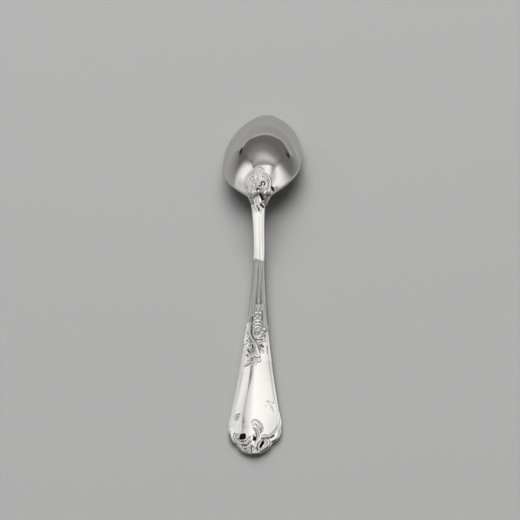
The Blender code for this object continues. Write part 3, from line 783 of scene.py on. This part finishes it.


# The last argument sets how dark the foot of each stroke is painted: partly sulphide, partly painted
# shade of the crease.
def lay(name, strokes, lean=0.0, sulphide_and_shade=0.4):
    """Makes one piece of ornament from its strokes, each rising by lean along +Y, for its node."""
    points, edges, halves, rises = [], [], [], []
    for one in strokes:
        first, count = len(points), len(one["plan"])
        climb = one["plan"][:, 1] - one["plan"][:, 1].min()
        one["rise"] += lean * climb * one["half"] / one["half"].max()
        one["sulphide_and_shade"] = np.full(count, sulphide_and_shade)
        for x, y in one["plan"].tolist():
            z = bowl_back(x, y) if y > TAB_Y else handle_back(x, y)
            points.append((x, y, float(z)))
        halves += one["half"].tolist()
        rises += one["rise"].tolist()
        edges += [(first + k, first + k + 1) for k in range(count - 1)]
        LAID.append(one)
    mesh = bpy.data.meshes.new(name + "_paths")
    mesh.from_pydata(points, edges, [])
    mesh.attributes.new("half", "FLOAT", "POINT").data.foreach_set("value", halves)
    mesh.attributes.new("rise", "FLOAT", "POINT").data.foreach_set("value", rises)
    piece = add_object(name + "_laid", mesh)
    modifier = piece.modifiers.new("strokes", "NODES")
    modifier.node_group = STROKES
    sockets = {s.name: s.identifier for s in STROKES.interface.items_tree if s.in_out == "INPUT"}
    given = {"Ground": GROUND, "Points Round": POINTS_ROUND, "Sink": SINK, "Skew": SKEW if lean else 0.0,
             "Soot": sulphide_and_shade, "Silver": ORNAMENT_SILVER}
    for socket, value in given.items():
        modifier[sockets[socket]] = value
    graph = bpy.context.evaluated_depsgraph_get()
    made = bpy.data.meshes.new_from_object(piece.evaluated_get(graph))
    piece.modifiers.clear()
    piece.data = made
    made.name = piece.name
    # The stains darken the ornament too: partly sulphide, partly painted shade of deep relief.
    x, y, _ = np.array([vertex.co for vertex in made.vertices]).T
    nook = np.array([item.value for item in made.attributes["nook"].data])
    made.attributes["nook"].data.foreach_set("value", np.maximum(nook, stain_and_shade(x, y)).astype(np.float32))
    bpy.data.meshes.remove(mesh)
    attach(piece, "root")
    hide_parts(name)
    print(name, "strokes", len(strokes), "faces", len(made.polygons))


print("inputs of the tree:", len(STROKES.interface.items_tree) - 1)

# %% [markdown]
# ## Heel of the bowl
# Under the bowl, where the tongue ends, sits the heel ornament: a small fan shell with two
# ribbed scrolls below it that close into a ring round a bud. On a real spoon it also
# covers the end of the joint. The scrolls are one path each with further ribs run beside
# it, which is how a chased scroll is built up.

# %% Shell, scrolls and bud


def ribs(rows, half, rise):
    return [stroke(row, half, rise) for row in rows]


def shell():
    tips = [(-1.6, 35.4), (-1.25, 36.25), (-0.65, 36.9), (0.1, 37.15), (0.85, 37.0),
            (1.5, 36.4), (1.9, 35.6)]
    fan = []
    for x, y in tips:
        path = [(0.15 + (x - 0.15) * t, 32.4 + (y - 32.4) * t) for t in (0.1, 0.4, 0.7, 0.9, 1.0)]
        fan.append(stroke(path, [0.08, 0.17, 0.26, 0.33, 0.30], 0.10))
    return fan


lay("heel_shell", shell(), sulphide_and_shade=0.15)
lay("heel_scroll_right", [
    stroke([(1.9, 34.5), (3.05, 33.65), (3.8, 32.3), (4.05, 30.6), (3.85, 29.15), (3.3, 27.8),
        (2.2, 26.5), (1.25, 25.8)], [0.18, 0.28, 0.30, 0.30, 0.30, 0.30, 0.26, 0.16], 0.13)] + ribs([
    [(1.15, 34.1), (2.3, 33.2), (3.15, 31.95), (3.55, 30.5), (3.35, 29.2), (2.85, 28.0)],
    [(1.25, 33.0), (2.25, 32.05), (2.85, 31.0), (2.95, 29.85), (2.7, 28.8)],
    [(0.8, 31.15), (1.55, 31.25), (2.3, 30.85), (2.55, 30.0), (2.3, 29.05), (1.7, 28.3), (1.05, 28.3)],
    [(1.65, 29.95), (1.4, 29.4), (1.35, 28.8)]], 0.31, 0.10), sulphide_and_shade=0.5)
lay("heel_scroll_left", [
    stroke([(-2.0, 35.4), (-3.3, 34.65), (-4.3, 33.6), (-4.65, 32.1), (-4.45, 30.5), (-3.9, 29.1),
        (-3.0, 27.6), (-1.75, 26.1), (-1.05, 26.0)],
        [0.18, 0.28, 0.30, 0.30, 0.30, 0.30, 0.28, 0.26, 0.16], 0.12)] + ribs([
    [(-1.9, 34.35), (-3.0, 33.65), (-3.65, 32.5), (-3.85, 31.1), (-3.5, 29.55), (-2.75, 28.1)],
    [(-1.75, 33.2), (-2.6, 32.5), (-3.05, 31.35), (-2.95, 30.0), (-2.5, 28.7)],
    [(-0.95, 31.4), (-1.9, 31.35), (-2.45, 30.7), (-2.35, 29.65), (-1.7, 28.8)],
    [(-1.75, 30.65), (-1.55, 29.85), (-1.55, 29.15)]], 0.33, 0.10), sulphide_and_shade=0.4)
lay("heel_bud", [
    stroke([(-1.1, 27.75), (-0.65, 28.55), (0.05, 28.85), (0.85, 28.55), (1.3, 27.85)], 0.24, 0.15),
    bead(-0.2, 32.3, 0.45, 0.22)] + ribs([[(-0.55, 25.7), (-0.45, 26.85), (-0.35, 27.85)],
    [(0.55, 25.8), (0.55, 26.75), (0.55, 27.75)], [(1.35, 26.2), (1.25, 27.0), (1.15, 27.65)],
    [(-1.3, 31.5), (-1.3, 30.55), (-1.25, 29.45)], [(-0.6, 31.5), (-0.6, 30.45), (-0.5, 29.3)],
    [(0.05, 31.6), (0.15, 30.55), (0.05, 29.4)]], 0.19, 0.10), sulphide_and_shade=0.45)

# %% [markdown]
# ## Neck and stem
# A long open leaf runs from the heel down the neck; its two edges and its rib are raised
# and the ground between them is left low. Below it the stem is reeded: one rib down the
# middle and a wire along each edge, soldered on in one length. The left wire leaves the
# edge at the middle of the handle and turns into an S-scroll.

# %% Neck leaf, rib and stem wires
S_TURN = [(-2.7, -22.8), (-2.5, -24.9), (-2.1, -26.9), (-1.5, -28.2), (-0.9, -29.1), (-0.25, -30.2),
    (0.15, -31.6), (0.35, -33.0), (0.7, -34.2), (0.85, -34.8)]
S_HALVES = [0.36, 0.36, 0.34, 0.34, 0.38, 0.46, 0.54, 0.60, 0.50, 0.30]
S_RISES = [0.20, 0.24, 0.26, 0.30, 0.34, 0.34, 0.28, 0.20, 0.12, 0.10]


def edge_path(side, start, stop, inset):
    y = np.linspace(start, stop, max(4, int(abs(stop - start) / 2.0)))
    x = side * (tongue_half(y * MM) / MM - inset)
    return [(float(a), float(b)) for a, b in zip(x, y)]


lay("neck_leaf", [
    stroke([(1.35, 25.5), (1.8, 24.25), (1.95, 22.95), (1.9, 21.65), (1.75, 20.35)], 0.22, 0.14),
    stroke([(-2.2, 25.9), (-1.6, 24.25), (-1.3, 23.1), (-1.1, 21.85), (-0.85, 20.65), (-0.5, 19.3)],
        [0.3, 0.42, 0.40, 0.36, 0.26, 0.16], 0.18),
    stroke([(-0.4, 25.2), (-0.15, 23.9), (0.0, 22.7), (0.1, 21.9), (0.4, 20.95), (0.7, 19.95),
        (0.65, 18.9)], [0.2, 0.26, 0.28, 0.26, 0.24, 0.22, 0.14], 0.15),
    stroke([(0.55, 22.1), (1.05, 21.85), (1.6, 22.05)], 0.30, 0.16), bead(-0.05, 22.2, 0.26, 0.16),
    stroke([(0.45, 20.75), (0.9, 20.1), (1.1, 19.5)], 0.17, 0.10)], sulphide_and_shade=0.45)
lay("stem_rib", [
    stroke([(0.3, 17.4), (0.28, 10.0), (0.28, 3.0), (0.28, -2.0), (0.28, -14.0)],
        [0.16, 0.20, 0.30, 0.34, 0.30], [0.03, 0.04, 0.07, 0.08, 0.06])], sulphide_and_shade=0.05)
LEFT_EDGE = edge_path(-1, 20.6, -20.4, 0.42)
RIGHT_EDGE = edge_path(1, 20.6, -24.0, 0.42)


def edge_rises(path):
    at = [-24.0, -15.0, -8.0, -2.0, 3.0, 10.0, 20.0]
    return list(np.interp([y for _, y in path], at, [0.14, 0.08, 0.07, 0.06, 0.06, 0.06, 0.06]))


lay("stem_wire_left", [
    stroke(LEFT_EDGE + S_TURN, [0.30] * len(LEFT_EDGE) + S_HALVES, edge_rises(LEFT_EDGE) + S_RISES)],
        sulphide_and_shade=0.15)
lay("stem_wire_right", [stroke(RIGHT_EDGE, 0.30, edge_rises(RIGHT_EDGE))], sulphide_and_shade=0.15)

# %% [markdown]
# ## Middle of the handle
# Where the stem opens into the blade there is a pendant of husks, a bow over a rosette, a
# curl and a bead on the right, and a spray of leaves that spreads on to the blade. Husks
# and shells like these are stock forms of the rococo; each was cast or stamped apart.

# %% Husks, bow, rosette and curls
LEAN = 0.13
lay("husk_bud", ribs([[(-0.55, -15.05), (-0.2, -15.75), (0.2, -16.5)],
    [(0.6, -14.75), (0.45, -15.6), (0.3, -16.5)], [(0.25, -16.4), (0.05, -17.7)]], 0.26, 0.14), LEAN)
lay("husk_flower", [leaf([(-1.05, -17.9), (-0.6, -18.15), (0.0, -18.3)], 0.56, 0.20),
    leaf([(1.25, -17.8), (0.85, -18.2), (0.2, -18.4)], 0.56, 0.20),
    bead(0.05, -18.4, 0.32, 0.22)], LEAN)
lay("husk_drop", [leaf([(0.0, -18.9), (0.0, -19.4), (0.05, -20.2)], 0.51, 0.20),
    leaf([(-1.2, -20.5), (-0.7, -20.4), (-0.15, -20.0)], 0.49, 0.20),
    leaf([(1.3, -20.5), (0.85, -20.35), (0.25, -20.05)], 0.49, 0.20),
    leaf([(-1.1, -21.3), (0.0, -21.25), (1.2, -21.2)], 0.54, 0.20)], LEAN)
lay("brow_leaf", [
    stroke([(-1.0, -22.7), (-0.4, -22.5), (0.4, -22.45), (1.0, -22.6), (1.5, -23.0)],
        [0.24, 0.34, 0.36, 0.34, 0.24], 0.16),
    stroke([(-1.45, -23.4), (-0.75, -23.3)], 0.29, 0.14)], LEAN)
lay("rosette", [
    stroke([(-0.9, -24.6), (-0.5, -23.95), (0.2, -23.75), (0.9, -23.95), (1.2, -24.6)], 0.39, 0.18),
    bead(0.2, -25.2, 0.51, 0.24), bead(0.35, -24.6, 0.32, 0.16)] + ribs([
    [(-1.1, -24.7), (-1.25, -26.05), (-0.95, -27.15), (-0.2, -27.95), (0.6, -28.2), (1.3, -28.1)],
    [(-0.7, -26.8), (-0.1, -27.3), (0.6, -27.35), (0.85, -26.9), (0.5, -26.5)],
    [(-0.2, -25.9), (-0.25, -26.5)], [(1.3, -25.7), (0.9, -26.3)]], 0.30, 0.15), LEAN)
lay("side_bead", [bead(2.35, -24.9, 0.67, 0.26)], LEAN)
lay("side_curl", [
    stroke([(1.3, -28.2), (1.3, -27.2), (1.9, -26.7), (2.65, -26.85), (3.05, -27.6), (3.1, -28.7),
        (3.0, -29.6)], [0.30, 0.36, 0.36, 0.36, 0.36, 0.34, 0.24], 0.18),
    bead(2.1, -28.3, 0.51, 0.20), bead(2.3, -29.3, 0.41, 0.16)], LEAN)
lay("left_leaf", [leaf([(-3.2, -25.4), (-3.2, -26.3), (-3.25, -27.3)], 0.24, 0.14),
    leaf([(-2.35, -29.3), (-2.9, -29.2), (-3.4, -29.5), (-3.6, -30.1)], 0.34, 0.16),
    leaf([(-1.85, -30.5), (-1.85, -31.1), (-1.9, -31.8)], 0.30, 0.16),
    leaf([(-2.6, -30.3), (-2.4, -31.2), (-2.0, -32.4)], 0.28, 0.14)], LEAN)
lay("drop_leaf", [stroke([(-0.2, -29.25), (0.6, -29.3), (1.3, -29.2)], 0.28, 0.16),
    stroke([(0.3, -30.2), (1.2, -30.25), (1.9, -29.85)], 0.26, 0.14),
    leaf([(1.6, -31.4), (1.6, -31.9), (1.55, -32.6)], 0.34, 0.18),
    leaf([(2.05, -32.6), (2.1, -33.2), (2.2, -33.9)], 0.30, 0.14)], LEAN)

# %% [markdown]
# The spray below the curls is three small fans of leaves on the blade. Every leaf leans
# like the rest of the middle: its top faces the white roof and its foot is dark.

# %% Spray of leaves
lay("spray_leaf_left", [leaf([(-1.7, -32.95), (-2.35, -34.1), (-3.0, -35.4)], 0.34, 0.16),
    leaf([(-1.15, -33.55), (-1.7, -34.75), (-2.3, -36.3)], 0.36, 0.16),
    leaf([(-1.8, -36.1), (-2.5, -36.7), (-3.4, -37.5)], 0.34, 0.14)], LEAN)
lay("spray_leaf_middle", [leaf([(-0.5, -33.0), (-1.0, -34.0), (-1.5, -35.0)], 0.36, 0.16),
    leaf([(0.0, -35.4), (-0.4, -36.0), (-1.05, -36.8)], 0.34, 0.14),
    leaf([(-0.5, -37.0), (-1.2, -37.7), (-1.9, -38.4)], 0.30, 0.10)], LEAN, 0.3)
lay("spray_leaf_right", [leaf([(0.5, -36.1), (0.1, -37.0), (-0.1, -38.3)], 0.28, 0.08),
    leaf([(1.5, -35.85), (1.35, -36.3), (1.25, -36.7)], 0.22, 0.08)], LEAN, 0.3)

# %% [markdown]
# ## Edge wires and sprigs of the blade
# The blade is plain but for its border. A wire follows each edge, with a finer thread
# beside it, and a small sprig of four strokes leans in from each side. The right wire
# does not stop at the corner: it sweeps round the end and runs into the eye of the
# volute there.

# %% Blade wires and sprigs
SWEEP = [(7.45, -58.5), (7.25, -60.7), (6.55, -62.35), (5.55, -63.6), (4.6, -64.4), (3.65, -64.0),
    (2.85, -63.9), (2.25, -64.3)]
SWEEP_HALVES = [0.4, 0.42, 0.44, 0.44, 0.4, 0.36, 0.32, 0.24]
SWEEP_RISES = [0.08, 0.12, 0.20, 0.24, 0.24, 0.22, 0.20, 0.18]
LEFT_RIM = edge_path(-1, -29.9, -61.3, 0.42)
RIGHT_RIM = edge_path(1, -26.0, -56.5, 0.45)
lay("blade_wire_left", [stroke(LEFT_RIM, 0.34, 0.07),
    stroke(edge_path(-1, -31.0, -60.0, 1.15), 0.24, 0.05)], sulphide_and_shade=0.12)
lay("blade_wire_right", [
    stroke(RIGHT_RIM + SWEEP, [0.36] * len(RIGHT_RIM) + SWEEP_HALVES,
        [0.07] * len(RIGHT_RIM) + SWEEP_RISES),
    stroke(edge_path(1, -30.0, -52.0, 1.2), 0.20, 0.04)], sulphide_and_shade=0.12)
lay("sprig_right", [stroke([(3.45, -51.95), (3.95, -51.6), (4.45, -51.95), (4.0, -52.35)], 0.17, 0.06),
    leaf([(2.95, -53.15), (3.55, -53.5)], 0.20, 0.06),
    leaf([(4.9, -52.0), (5.6, -52.4), (6.4, -52.75)], 0.24, 0.08),
    leaf([(4.6, -52.85), (5.3, -54.2), (5.9, -56.0)], 0.24, 0.05)], sulphide_and_shade=0.12)
lay("sprig_left", [leaf([(-6.8, -56.5), (-5.95, -56.05), (-4.9, -56.0)], 0.18, 0.02),
    leaf([(-6.6, -57.25), (-5.8, -56.95), (-4.8, -56.8)], 0.18, 0.02),
    leaf([(-6.25, -58.05), (-5.65, -57.7), (-5.0, -57.35)], 0.16, 0.02),
    leaf([(-5.45, -58.15), (-6.25, -58.85), (-6.75, -60.05), (-6.7, -61.35)], 0.2, 0.06)], sulphide_and_shade=0.0)

# %% [markdown]
# ## End of the handle
# The end gathers the border into a cartouche without symmetry, as the rococo liked it: a
# ribbed C-scroll on the left, a flame-shaped leaf in the middle, the eye of a volute on
# the right, and a fluted husk that makes the tip.

# %% Scroll, flame, eye and husk
lay("end_scroll", [
    stroke([(-6.45, -62.3), (-6.3, -63.4), (-5.65, -64.85), (-4.55, -66.0), (-3.4, -66.3),
        (-2.35, -65.8), (-1.8, -65.0), (-1.4, -64.2)], [0.30, 0.36, 0.42, 0.46, 0.44, 0.38, 0.32, 0.22],
        0.22),
    stroke([(-6.1, -63.0), (-5.05, -62.95)], 0.28, 0.14)], sulphide_and_shade=0.6)
lay("flame_leaf", [
    stroke([(-0.95, -59.25), (-0.6, -58.5), (0.2, -58.35), (1.2, -59.05), (2.0, -60.2), (2.45, -61.45),
        (2.4, -62.65)], [0.2, 0.28, 0.30, 0.32, 0.32, 0.30, 0.2], 0.12),
    stroke([(-0.7, -60.2), (0.05, -59.75), (0.75, -60.4), (1.45, -61.55), (1.7, -62.85), (1.5, -63.95)],
        [0.18, 0.26, 0.28, 0.28, 0.28, 0.2], 0.12),
    stroke([(-0.2, -61.2), (0.4, -61.45), (0.95, -62.45), (1.1, -63.7), (0.95, -64.85)], 0.24, 0.10),
    stroke([(1.55, -63.35), (1.25, -64.5), (0.85, -65.7), (0.5, -67.1), (0.35, -68.35)],
        [0.22, 0.36, 0.42, 0.40, 0.24], 0.18)], sulphide_and_shade=0.25)
lay("end_eye", [
    stroke([(2.95, -65.35), (2.1, -66.0), (1.6, -67.05), (1.5, -68.15), (1.9, -69.0)], 0.36, 0.22),
    stroke([(3.4, -65.35), (4.2, -65.7), (4.55, -66.4), (4.25, -67.35), (3.6, -68.2), (2.8, -68.85),
        (2.05, -69.2)], [0.24, 0.38, 0.42, 0.40, 0.38, 0.36, 0.24], 0.22),
    stroke([(3.7, -66.15), (3.8, -66.9), (3.4, -67.7)], 0.22, 0.12)], sulphide_and_shade=0.6)
lay("end_husk", [leaf([(-0.5, -67.25), (-0.35, -68.45), (-0.2, -69.65)], 0.38, 0.20),
    leaf([(0.5, -67.9), (0.65, -68.9), (0.65, -69.7)], 0.36, 0.20),
    leaf([(-1.25, -67.9), (-1.15, -68.8), (-1.05, -69.5)], 0.30, 0.16),
    leaf([(1.55, -68.9), (1.85, -69.15), (2.1, -69.3)], 0.26, 0.14)], sulphide_and_shade=0.55)
lay("end_leaf", [
    stroke([(-3.8, -67.25), (-2.7, -67.85), (-1.7, -67.35), (-1.25, -66.4), (-1.15, -65.55)],
        [0.24, 0.36, 0.36, 0.32, 0.2], 0.20),
    leaf([(-3.2, -68.45), (-2.3, -69.0), (-1.5, -68.8)], 0.30, 0.16)], sulphide_and_shade=0.6)

# %% [markdown]
# ## Tarnish and painted shade in the corners
# The bodies are darkened along the foot of every stroke, on the bowl and the handle as
# much as on the ornament: partly sulphide, which gathers there, and partly painted shade
# of the crease. Each point of the two bodies is given a "nook" value that falls off
# with its distance from the nearest stroke, with more in the cuts, hollows and stains.

# %% Nook values of the bodies
NOOK_SPREAD, HOLLOW_SULPHIDE_SHADE, CUT_SULPHIDE_SHADE = 0.00014, 8.0, 4.5


def mark_nooks(piece):
    centres = np.concatenate([one["plan"] for one in LAID])
    halves = np.concatenate([one["half"] for one in LAID])
    sulphide_shade_levels = np.concatenate([one["sulphide_and_shade"] for one in LAID])
    tree = KDTree(len(centres))
    for k, (x, y) in enumerate(centres):
        tree.insert((x, y, 0.0), k)
    tree.balance()
    values = []
    for vertex in piece.data.vertices:
        x, y, _ = vertex.co
        near = tree.find_n((x, y, 0.0), 5)
        # Darker near the foot of the nearest stroke: partly sulphide, partly painted shade of the crease.
        gap, sulphide_and_shade = min((max(d - halves[k], 0.0), sulphide_shade_levels[k]) for _, k, d in near)
        values.append(sulphide_and_shade * math.exp(-((gap / NOOK_SPREAD) ** 2)))
    x, y, _ = np.array([vertex.co for vertex in piece.data.vertices]).T
    hollow, groove = cut_share(x, y)
    # Hollows, cuts and flutes are painted darker: partly sulphide, partly painted shade of the recess.
    deep, shallow = np.clip(hollow * HOLLOW_SULPHIDE_SHADE, 0, 1.3), np.clip(groove * CUT_SULPHIDE_SHADE, 0, 0.95)
    values = np.maximum.reduce([values, deep, shallow, stain_and_shade(x, y)])
    piece.data.attributes.new("nook", "FLOAT", "POINT").data.foreach_set("value", values)
    print(piece.name, "points in a nook:", sum(v > 0.3 for v in values))


for piece, node in ((BOWL, "bowl"), (HANDLE, "handle")):
    mark_nooks(piece)
    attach(piece, "root")
    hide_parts(node)
bpy.data.meshes.remove(GROUND.data)

# %% [markdown]
# ## Table
# The table is plain grey paper. In the metal it is painted a little deeper than the camera
# sees it, as painted shade: the underside of a spoon looks at paper that lies in its own shade.

# %% Table
TABLE_RADIUS = 1.3


def make_table():
    material = bpy.data.materials.new("grey_paper")
    net = empty_net(material)
    place = net.make("ShaderNodeTexCoord", out="Object")
    shiny = net.make("ShaderNodeLightPath", out="Is Glossy Ray")
    grain = net.make("ShaderNodeTexNoise", inputs={"Vector": place, "Scale": 1800.0, "Detail": 3.0})
    paper = net.make("ShaderNodeMix", {"data_type": "RGBA"},
                     {"Factor": (grain * 0.6).clipped(), 6: (0.468, 0.468, 0.466, 1.0),
                      7: (0.440, 0.440, 0.438, 1.0)}, out=2)
    # Glossy rays see a darker paper: painted shade in the paper's reflection in the metal.
    colour = net.make("ShaderNodeMix", {"data_type": "RGBA"},
                      {"Factor": shiny * 1.0, 6: paper, 7: (0.330, 0.328, 0.322, 1.0)}, out=2)
    shader = net.make("ShaderNodeBsdfPrincipled",
                      inputs={"Base Color": colour, "Roughness": 0.85, "Specular IOR Level": 0.2})
    net.make("ShaderNodeOutputMaterial", inputs={"Surface": shader})
    turns = np.linspace(0, 2 * math.pi, 97)[:-1]
    ring = [(TABLE_RADIUS * math.cos(a), TABLE_RADIUS * math.sin(a), 0.0) for a in turns]
    table = add_mesh("table", ring, [tuple(range(96))], material)
    print("table of", 2 * TABLE_RADIUS, "m")


make_table()

# %% [markdown]
# ## Light tent
# Silver shows what is round it, so the tent is part of the likeness: a white roof, two
# white walls with a lamp behind each, a greyer back with a low paper sweep in front of it,
# and a dim front behind the camera. The tent is large beside the spoon, and its sizes
# are written as seen from the bowl and then spread by TENT_SPREAD. The walls are seen by
# the metal alone; soft lamps light the table, and the metal does not see those in turn.

# %% Tent walls
LEFT, RIGHT, FRONT, BACK, TOP = -110.0, 150.0, -230.0, 190.0, 298.0
STAND_OUT = 40.0  # how far the left wall stands out at its foot
TENT_SPREAD = 3.1
TENT_MIDDLE = np.array([0.0, 47.0, 12.0])


def hump(value, middle, spread):
    """A smooth bump of height 1, as a lamp behind cloth makes it."""
    away = (value - middle) / spread
    return away.math("EXPONENT", away * away * -1.0)


def wall(name, corners, level):
    """One wall in millimetres whose brightness is a rule over the place on it."""
    material = bpy.data.materials.new(name)
    net = empty_net(material)
    place = net.make("ShaderNodeTexCoord", out="Object")
    parts = [net.make("ShaderNodeSeparateXYZ", inputs={0: place}, out=k) * 1000.0 for k in range(3)]
    x, y, z = (float(m) + (part - float(m)) / TENT_SPREAD for part, m in zip(parts, TENT_MIDDLE))
    bright = level(x, y, z).clipped(0.015, 1.15)
    colour = net.make("ShaderNodeCombineColor",
                      inputs={"Red": bright, "Green": bright * 0.987, "Blue": bright * 0.968})
    glow = net.make("ShaderNodeEmission", inputs={"Color": colour, "Strength": 1.0})
    net.make("ShaderNodeOutputMaterial", inputs={"Surface": glow})
    material.cycles.emission_sampling = "NONE"
    spread = TENT_MIDDLE + (np.array(corners, float) - TENT_MIDDLE) * TENT_SPREAD
    cloth = add_mesh(name, spread * MM, [(0, 1, 2, 3)], material)
    cloth.visible_camera = cloth.visible_diffuse = cloth.visible_shadow = False


print("tent:", round((RIGHT - LEFT) * TENT_SPREAD * MM, 2), "m wide at the roof")

# %% [markdown]
# Each wall's brightness is a rule over the place on it: cloth with a lamp behind it, paper
# that climbs its foot, dark rods along its edges and a dark knot where the cloth is tied.
# The rules were set by comparing the reflections in the bowl and the blade.

# %% Brightness of the walls


def roof_level(x, y, z):
    rods = ((x - LEFT - 1.0) / 2.5).clipped(0.12, 1.0) * ((BACK - y) / 4.0).clipped(0.3, 1.0)
    cloth = 0.88 + hump(x, -42.0, 26.0) * 0.12 + hump(x, 65.0, 40.0) * 0.14
    near_back = ((y - 130.0) / 30.0).clipped()
    cloth = cloth + near_back * (hump(x, -52.0, 14.0) * 0.10 - ((x + 36.0) / 16.0).clipped() * 0.07)
    cloth = cloth - ((x - 85.0 - (BACK - y) * 0.6) / 40.0).clipped() * 0.45
    cloth = cloth - ((-70.0 - x) / 25.0).clipped() * 0.14
    return cloth * rods * ((y - FRONT) / 90.0).clipped(0.45, 1.0)


def back_level(x, y, z):
    cloth = 0.13 + ((z - 150.0) / 60.0).clipped() * 0.10 + ((z - 205.0) / 40.0).clipped() * 0.32
    cloth = cloth - ((z - 256.0) / 22.0).clipped() * 0.22
    aside = (x - 35.0) / 170.0
    fall = ((z - 200.0) / 40.0).clipped() - ((z - 255.0) / 20.0).clipped() * 0.7
    cloth = cloth * (1.0 - aside * aside * fall)
    cloth = cloth * ((TOP - 1.0 - z) / 5.0).clipped(0.4, 1.0)
    rise = 82.0 - x * 0.08 - x.clipped(0.0, 200.0) * 0.10
    sweep = 0.322 - (z / 60.0).clipped() * 0.014 - x * 0.00022 + hump(z, rise - 3.0, 11.0) * 0.09
    over = ((z - rise) / 4.0).clipped()
    knots = hump(x, -138.0, 11.0) * hump(z, 92.0, 13.0) + hump(x, 148.0, 10.0) * hump(z, 80.0, 11.0)
    return (cloth * over + sweep * (1.0 - over)) * (1.0 - (knots * 1.4).clipped())


def left_level(x, y, z):
    paper = (0.33 - (z / 100.0) ** 1.5 * 0.20).clipped(0.12, 0.33)
    past = z - 20.0 - (y - 45.0) * 1.15 - (y - 125.0).clipped(0.0, 80.0) * 0.45
    width = 8.0 + ((y - 70.0) / 80.0).clipped() * 45.0
    lit = (past / width + 0.6).clipped()
    glow = hump(past, 48.0, 40.0) * ((y - 60.0) / 35.0).clipped() * 0.36
    dim = ((158.0 + z * 0.15 + ((z - 225.0) / 60.0).clipped() * 25.0 - y) / 30.0).clipped(0.15, 1.0)
    cloth = paper + ((0.56 - paper) * lit + glow) * dim
    knot = hump(y, 190.0, 13.0) * hump(z, 92.0, 13.0)
    rods = ((TOP - z) / 3.0).clipped(0.1, 1.0) * ((y + 150.0) / 110.0).clipped(0.1, 1.0)
    return cloth * rods * (1.0 - (knot * 1.4).clipped())


def right_level(x, y, z):
    paper = 0.28 - ((z - 20.0) / 50.0).clipped() * 0.15
    past = z - 75.0 - y * 0.97
    lit = ((past + 120.0 - y * 0.45) / 70.0).clipped()
    glow = hump(past, 0.0, 32.0 + (past * -0.1).clipped() * 18.0) * 0.42
    cloth = paper + ((0.50 - paper) * lit + glow) * ((188.0 - y) / 45.0).clipped(0.25, 1.0)
    knot = hump(y, 190.0, 11.0) * hump(z, 80.0, 11.0)
    rods = ((TOP - z) / 3.0).clipped(0.1, 1.0) * ((y + 60.0) / 70.0).clipped(0.1, 1.0)
    return cloth * rods * (1.0 - (knot * 1.4).clipped())


def front_level(x, y, z):
    return 0.18 + ((z - 90.0) / 200.0).clipped() * 0.42


def make_tent():
    foot = LEFT - STAND_OUT
    wall("tent_roof", [(LEFT, FRONT, TOP), (RIGHT, FRONT, TOP), (RIGHT, BACK, TOP), (LEFT, BACK, TOP)],
         roof_level)
    wall("tent_back", [(foot, BACK, 0), (RIGHT, BACK, 0), (RIGHT, BACK, TOP), (LEFT, BACK, TOP)],
         back_level)
    wall("tent_left", [(foot, FRONT, 0), (foot, BACK, 0), (LEFT, BACK, TOP), (LEFT, FRONT, TOP)],
         left_level)
    wall("tent_right", [(RIGHT, FRONT, 0), (RIGHT, BACK, 0), (RIGHT, BACK, TOP), (RIGHT, FRONT, TOP)],
         right_level)
    wall("tent_front", [(foot, FRONT, 0), (RIGHT, FRONT, 0), (RIGHT, FRONT, TOP), (LEFT, FRONT, TOP)],
         front_level)
    print("tent walls: 5")


make_tent()

# %% [markdown]
# ## Lamps
# The table has lamps of its own: a broad one above and behind the spoon, a lower one that
# draws the shadow out from under the bowl, and three weak ones that fill it.

# %% Lamps and room


def lamp(name, at, size, level):
    light = bpy.data.lights.new(name, "AREA")
    light.shape = "ELLIPSE"
    light.size, light.size_y = size
    light.energy = level
    head = add_object(name, light)
    head.location = at
    head.rotation_euler = (Vector() - Vector(at)).to_track_quat("-Z", "Y").to_euler()
    head.visible_camera = head.visible_glossy = False


def light_room():
    lamp("lamp_over", (0.0, 2.75, 3.35), (6.40, 3.40), 216.0)
    lamp("lamp_back", (-0.20, 4.00, 1.90), (2.80, 2.40), 84.0)
    lamp("lamp_left", (-3.00, 0.80, 2.00), (2.00, 2.00), 12.0)
    lamp("lamp_right", (3.00, 0.60, 2.00), (2.00, 2.00), 6.0)
    lamp("lamp_front", (0.60, -2.60, 2.60), (2.00, 2.00), 5.0)
    world = bpy.data.worlds.new("room")
    net = empty_net(world)
    room = net.make("ShaderNodeBackground", inputs={"Color": (1.0, 0.995, 0.985, 1.0), "Strength": 0.012})
    net.make("ShaderNodeOutputWorld", inputs={"Surface": room})
    bpy.context.scene.world = world
    bpy.context.scene.view_settings.view_transform = "Standard"


light_room()
